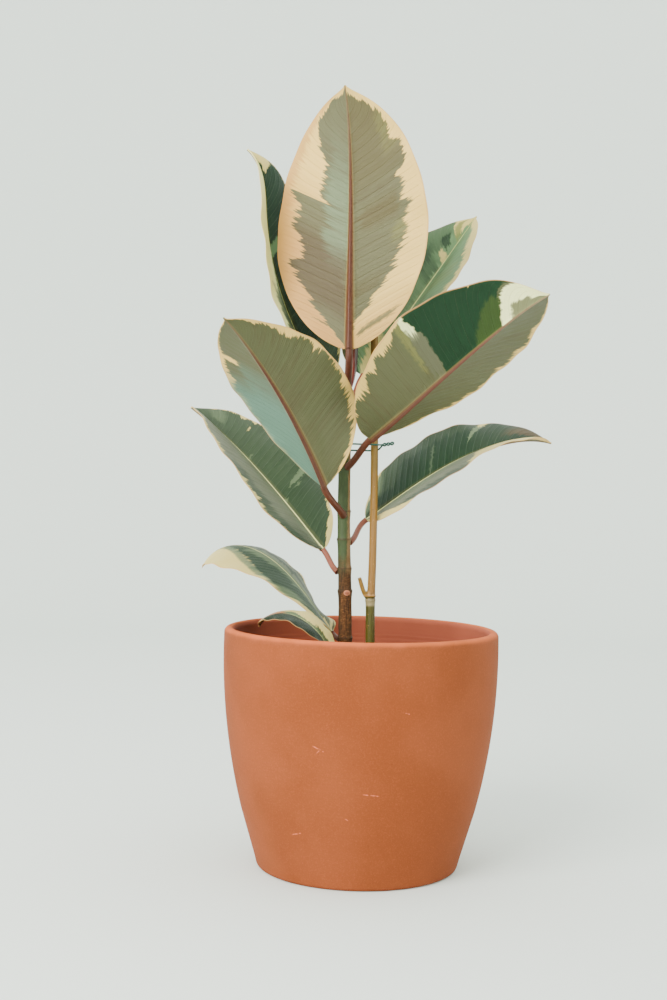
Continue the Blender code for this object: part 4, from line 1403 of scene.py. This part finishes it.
def variegated(grid, marks, side):
    """Green up to a ragged edge and cream beyond it, with the patches of the other tones."""
    tones = side.tones
    ragged = grid.coarse * 0.26 + grid.fine * 0.34 + grid.hair * 0.12
    past_green = grid.share + ragged * (1 - grid.share.above(0.93, 1.0)) - green_limit(grid, marks)
    margin = past_green.above(-MARGIN_SOFT, MARGIN_SOFT)
    under_margin, over_margin = patch_masks(grid, marks, ragged, margin)
    skin = grid.left.blend(tones[marks.green_right], tones[marks.green_left])
    for mask, tone in under_margin:
        skin = mask.blend(skin, tones[tone])
    mottled = (grid.fine + grid.coarse * 0.6).above(-0.05, 0.30) * side.mottle
    skin = mottled.blend(skin, tones[side.mottle_tone])
    skin = (grid.hair.above(0.0, 0.25) * side.hairs).blend(skin, tones["pale"])
    skin = margin.blend(skin, grid.left.blend(tones[marks.margin_right], tones[marks.margin_left]))
    for mask, tone in over_margin:
        skin = mask.blend(skin, tones[tone])
    return skin


def vein_lines(grid):
    """Masks of the thin lines on the side veins and of the thinner threads between them."""
    rows = grid.lane.math("PINGPONG", grid.lane * VEIN_COUNT, 0.5)
    between = grid.lane.math("PINGPONG", grid.lane * VEIN_COUNT * 2 + grid.fine * 0.3, 0.5)
    inside = 1 - grid.share.above(0.90, 0.98)
    return (1 - rows.above(0.0, 0.055)) * inside, (1 - between.above(0.0, 0.10)) * inside


def beside_rib(leaf, along, reach):
    """Distance from the midrib's middle as a share of its half width there."""
    base_width = leaf.petiole_radius * REACH_UNIT
    return reach / (base_width * (1 - along) + MIDRIB_TIP_RADIUS * REACH_UNIT * along)


def leaf_finish(leaf, look, side, seed):
    """The variegated skin of one side of a blade, with its side veins, midrib and rim."""
    low = leaf.name in LOW_LEAVES
    constants = {"Specular IOR Level": LOW_LEAF_GLOSS if low else LEAF_GLOSS}
    material, net, shader = new_material(f"{leaf.name}_{side.name}", constants)
    grid = blade_grid(net, leaf, seed)
    skin = variegated(grid, MARKINGS[leaf.name], side)
    line, thread = vein_lines(grid)
    faint = (0.35 + grid.coarse * 1.2) * (LOW_LEAF_RELIEF if low else 1.0)
    skin = ((line * side.veins + thread * 0.12) * faint).blend(skin, side.tones["pale"])
    out_from_rib = beside_rib(leaf, grid.along, grid.reach)
    halo = 1 - out_from_rib.above(*HALO_EDGE)
    skin = (halo * side.halo).blend(skin, side.tones["cream"])
    rib = 1 - out_from_rib.above(*side.rib_edge)
    rib_tone = look.rib if side is UPPER_SIDE else look.stalk_red
    skin = (rib * side.rib).blend(skin, tuple(rib_tone))
    rim = grid.share.above(*RIM_EDGE)
    skin = (rim * 0.6).blend(skin, tuple(look.margin_line))
    height = line * 0.5 + thread * 0.25 + grid.hair * 0.5 + grid.fine * 0.3
    roughness = side.roughness + grid.hair * 0.20 + grid.wander * 0.10
    finish_surface(net, shader, skin, roughness, height, side.bump)
    return material


def stalk_finish(leaf, look):
    """Red-brown stalk that pales along the midrib towards the tip."""
    near = tuple(look.stalk_pink if leaf.name in PINK_STALKS else look.stalk_red)
    material, net, shader = new_material(f"{leaf.name}_stalk", {"Specular IOR Level": 0.4})
    blade = net.node("Attribute", {"attribute_name": "blade"}, {}, output=1)
    along, _, reach = blade.parts()
    grain = object_place(net).noise(420.0, 3.0, 0.6)
    base = along.above(0.60, 1.05).blend(near, tuple(look.stalk_tip))
    base = ((1 - along.above(-1.0, -0.7)) * 0.5).blend(base, tuple(c * 0.6 for c in near))
    flank = beside_rib(leaf, along, reach).above(0.65, 1.0) * along.above(0.0, 0.01)
    base = (flank * 0.08).blend(base, UNDER_TONES["cream"])
    base = (grain.above(0.45, 0.75) * 0.35).blend(base, tuple(c * 0.55 for c in near))
    finish_surface(net, shader, base, 0.42 + grain * 0.2, grain, 0.0002)
    return material


def build_leaves(look):
    """The nine leaves, each one mesh of stalk and blade."""
    for index, leaf in enumerate(LEAVES):
        mesh = leaf_mesh(leaf, look, index * 1.3)
        finishes = [leaf_finish(leaf, look, side, index * 3.1) for side in (UPPER_SIDE, UNDER_SIDE)]
        finishes.append(stalk_finish(leaf, look))
        add_mesh(f"{leaf.name}_blade", mesh, finishes, leaf.name, 60)


# ---------------------------------------------------------------- stage

CAMERA_PLACE = (-0.0235, -1.07, 0.291)
CAMERA_PITCH = 0.58
CAMERA_ROLL = 1.2
KEY_PLACE = (-1.25, -1.55, 1.25)
KEY_SIZE = (1.3, 1.1)
KEY_TARGET = (0, 0, 0.25)
KEY_TINT = (1.0, 0.98, 0.93)
FILL_TINT = (1.0, 0.985, 0.94)
SENSOR_WIDTH = 36.0
SWEEP_RADIUS = 2.6
SWEEP_ROUND = 0.9
SWEEP_HEIGHT = 2.6
SWEEP_SEGMENTS = 128


def build_floor(stage):
    """A plain pale floor that turns up in one sweep all round."""
    profile = [(0.0, 0.0), (0.6, 0.0), (SWEEP_RADIUS - SWEEP_ROUND, 0.0)]
    profile += arc((SWEEP_RADIUS - SWEEP_ROUND, SWEEP_ROUND), SWEEP_ROUND, -90, 0, 24)[1:]
    profile += [(SWEEP_RADIUS, SWEEP_HEIGHT)]
    body = spin_profile(profile, SWEEP_SEGMENTS)
    mesh = bpy.data.meshes.new("floor")
    body.to_mesh(mesh)
    body.free()
    constants = {"Specular IOR Level": 0.1, "Roughness": 0.95, "Base Color": (*stage.floor, 1.0)}
    mesh.materials.append(new_material("floor", constants)[0])
    mesh.shade_smooth()
    floor = bpy.data.objects.new("floor", mesh)
    bpy.context.scene.collection.objects.link(floor)


def build_lights(stage):
    """A window's light from the left, and soft light all round."""
    lamp = bpy.data.lights.new("window", "AREA")
    lamp.shape = "RECTANGLE"
    lamp.size, lamp.size_y = KEY_SIZE
    lamp.energy = stage.key
    lamp.color = KEY_TINT
    window = bpy.data.objects.new("window", lamp)
    window.location = KEY_PLACE
    window.rotation_euler = (Vector(KEY_TARGET) - window.location).to_track_quat("-Z", "Y").to_euler()
    window.visible_camera = False
    bpy.context.scene.collection.objects.link(window)
    world = bpy.data.worlds.new("soft_room")
    world.use_nodes = True
    background = world.node_tree.nodes["Background"]
    background.inputs["Color"].default_value = (*FILL_TINT, 1.0)
    background.inputs["Strength"].default_value = stage.fill
    bpy.context.scene.world = world


def build_camera(stage):
    """The camera in front of the plant, looking slightly down and rolled a little."""
    lens = bpy.data.cameras.new("camera")
    lens.lens = stage.lens
    lens.sensor_width = SENSOR_WIDTH
    lens.sensor_fit = "AUTO"
    pitch, roll = math.radians(CAMERA_PITCH), math.radians(CAMERA_ROLL)
    forward = Vector((0, math.cos(pitch), -math.sin(pitch)))
    level_up = Vector((0, math.sin(pitch), math.cos(pitch)))
    level_right = Vector((1, 0, 0))
    right = math.cos(roll) * level_right + math.sin(roll) * level_up
    up = math.cos(roll) * level_up - math.sin(roll) * level_right
    turn = Matrix((right, up, -forward)).transposed().to_4x4()
    camera = bpy.data.objects.new("camera", lens)
    camera.matrix_world = Matrix.Translation(CAMERA_PLACE) @ turn
    bpy.context.scene.collection.objects.link(camera)
    bpy.context.scene.camera = camera


# ---------------------------------------------------------------- operators

class PLANT_OT_pot(bpy.types.Operator):
    """Build the terracotta pot"""

    bl_idname = "plant.pot"
    bl_label = "Pot"

    def execute(self, context):
        build_pot(context.scene.plant_pot)
        return {"FINISHED"}


class PLANT_OT_soil(bpy.types.Operator):
    """Build the soil surface and its crumbs"""

    bl_idname = "plant.soil"
    bl_label = "Soil"

    def execute(self, context):
        build_soil(context.scene.plant_soil, context.scene.plant_pot)
        return {"FINISHED"}


class PLANT_OT_stem(bpy.types.Operator):
    """Build the stem"""

    bl_idname = "plant.stem"
    bl_label = "Stem"

    def execute(self, context):
        build_stem(context.scene.plant_stem)
        return {"FINISHED"}


class PLANT_OT_bud(bpy.types.Operator):
    """Build the bud sheath"""

    bl_idname = "plant.bud"
    bl_label = "Bud"

    def execute(self, context):
        build_bud(context.scene.plant_stem)
        return {"FINISHED"}


class PLANT_OT_cane(bpy.types.Operator):
    """Build the bamboo cane with its branch stub"""

    bl_idname = "plant.cane"
    bl_label = "Cane"

    def execute(self, context):
        build_cane(context.scene.plant_cane)
        return {"FINISHED"}


class PLANT_OT_tie(bpy.types.Operator):
    """Build the wire tie round the stem and the cane"""

    bl_idname = "plant.tie"
    bl_label = "Tie"

    def execute(self, context):
        build_tie(context.scene.plant_cane)
        return {"FINISHED"}


class PLANT_OT_leaves(bpy.types.Operator):
    """Build the nine variegated leaves"""

    bl_idname = "plant.leaves"
    bl_label = "Leaves"

    def execute(self, context):
        build_leaves(context.scene.plant_leaf)
        return {"FINISHED"}


class PLANT_OT_stage(bpy.types.Operator):
    """Build the floor, the light and the camera"""

    bl_idname = "plant.stage"
    bl_label = "Stage"

    def execute(self, context):
        build_floor(context.scene.plant_stage)
        build_lights(context.scene.plant_stage)
        build_camera(context.scene.plant_stage)
        return {"FINISHED"}


class PLANT_PT_panel(bpy.types.Panel):
    """Sidebar panel that lists the settings and the steps"""

    bl_idname = "PLANT_PT_panel"
    bl_label = "Rubber Plant"
    bl_space_type = "VIEW_3D"
    bl_region_type = "UI"
    bl_category = "Rubber Plant"

    def draw(self, context):
        for setting, _ in SETTINGS:
            box = self.layout.box()
            group = getattr(context.scene, setting)
            for name in group.__annotations__:
                box.prop(group, name)
        for operator in OPERATORS:
            self.layout.operator(operator.bl_idname)


SETTINGS = [
    ("plant_pot", PotSettings), ("plant_soil", SoilSettings), ("plant_stem", StemSettings),
    ("plant_cane", CaneSettings), ("plant_leaf", LeafSettings), ("plant_stage", StageSettings),
]
OPERATORS = [
    PLANT_OT_stage, PLANT_OT_pot, PLANT_OT_soil, PLANT_OT_stem, PLANT_OT_bud, PLANT_OT_cane, PLANT_OT_tie,
    PLANT_OT_leaves,
]


def register():
    for setting, group in SETTINGS:
        bpy.utils.register_class(group)
        setattr(bpy.types.Scene, setting, PointerProperty(type=group))
    for operator in OPERATORS:
        bpy.utils.register_class(operator)
    bpy.utils.register_class(PLANT_PT_panel)


def unregister():
    bpy.utils.unregister_class(PLANT_PT_panel)
    for operator in reversed(OPERATORS):
        bpy.utils.unregister_class(operator)
    for setting, group in reversed(SETTINGS):
        delattr(bpy.types.Scene, setting)
        bpy.utils.unregister_class(group)


def main():
    register()
    bpy.ops.plant.stage()
    bpy.ops.plant.pot()
    bpy.ops.plant.soil()
    bpy.ops.plant.stem()
    bpy.ops.plant.bud()
    bpy.ops.plant.cane()
    bpy.ops.plant.tie()
    bpy.ops.plant.leaves()


if __name__ == "__main__":
    main()
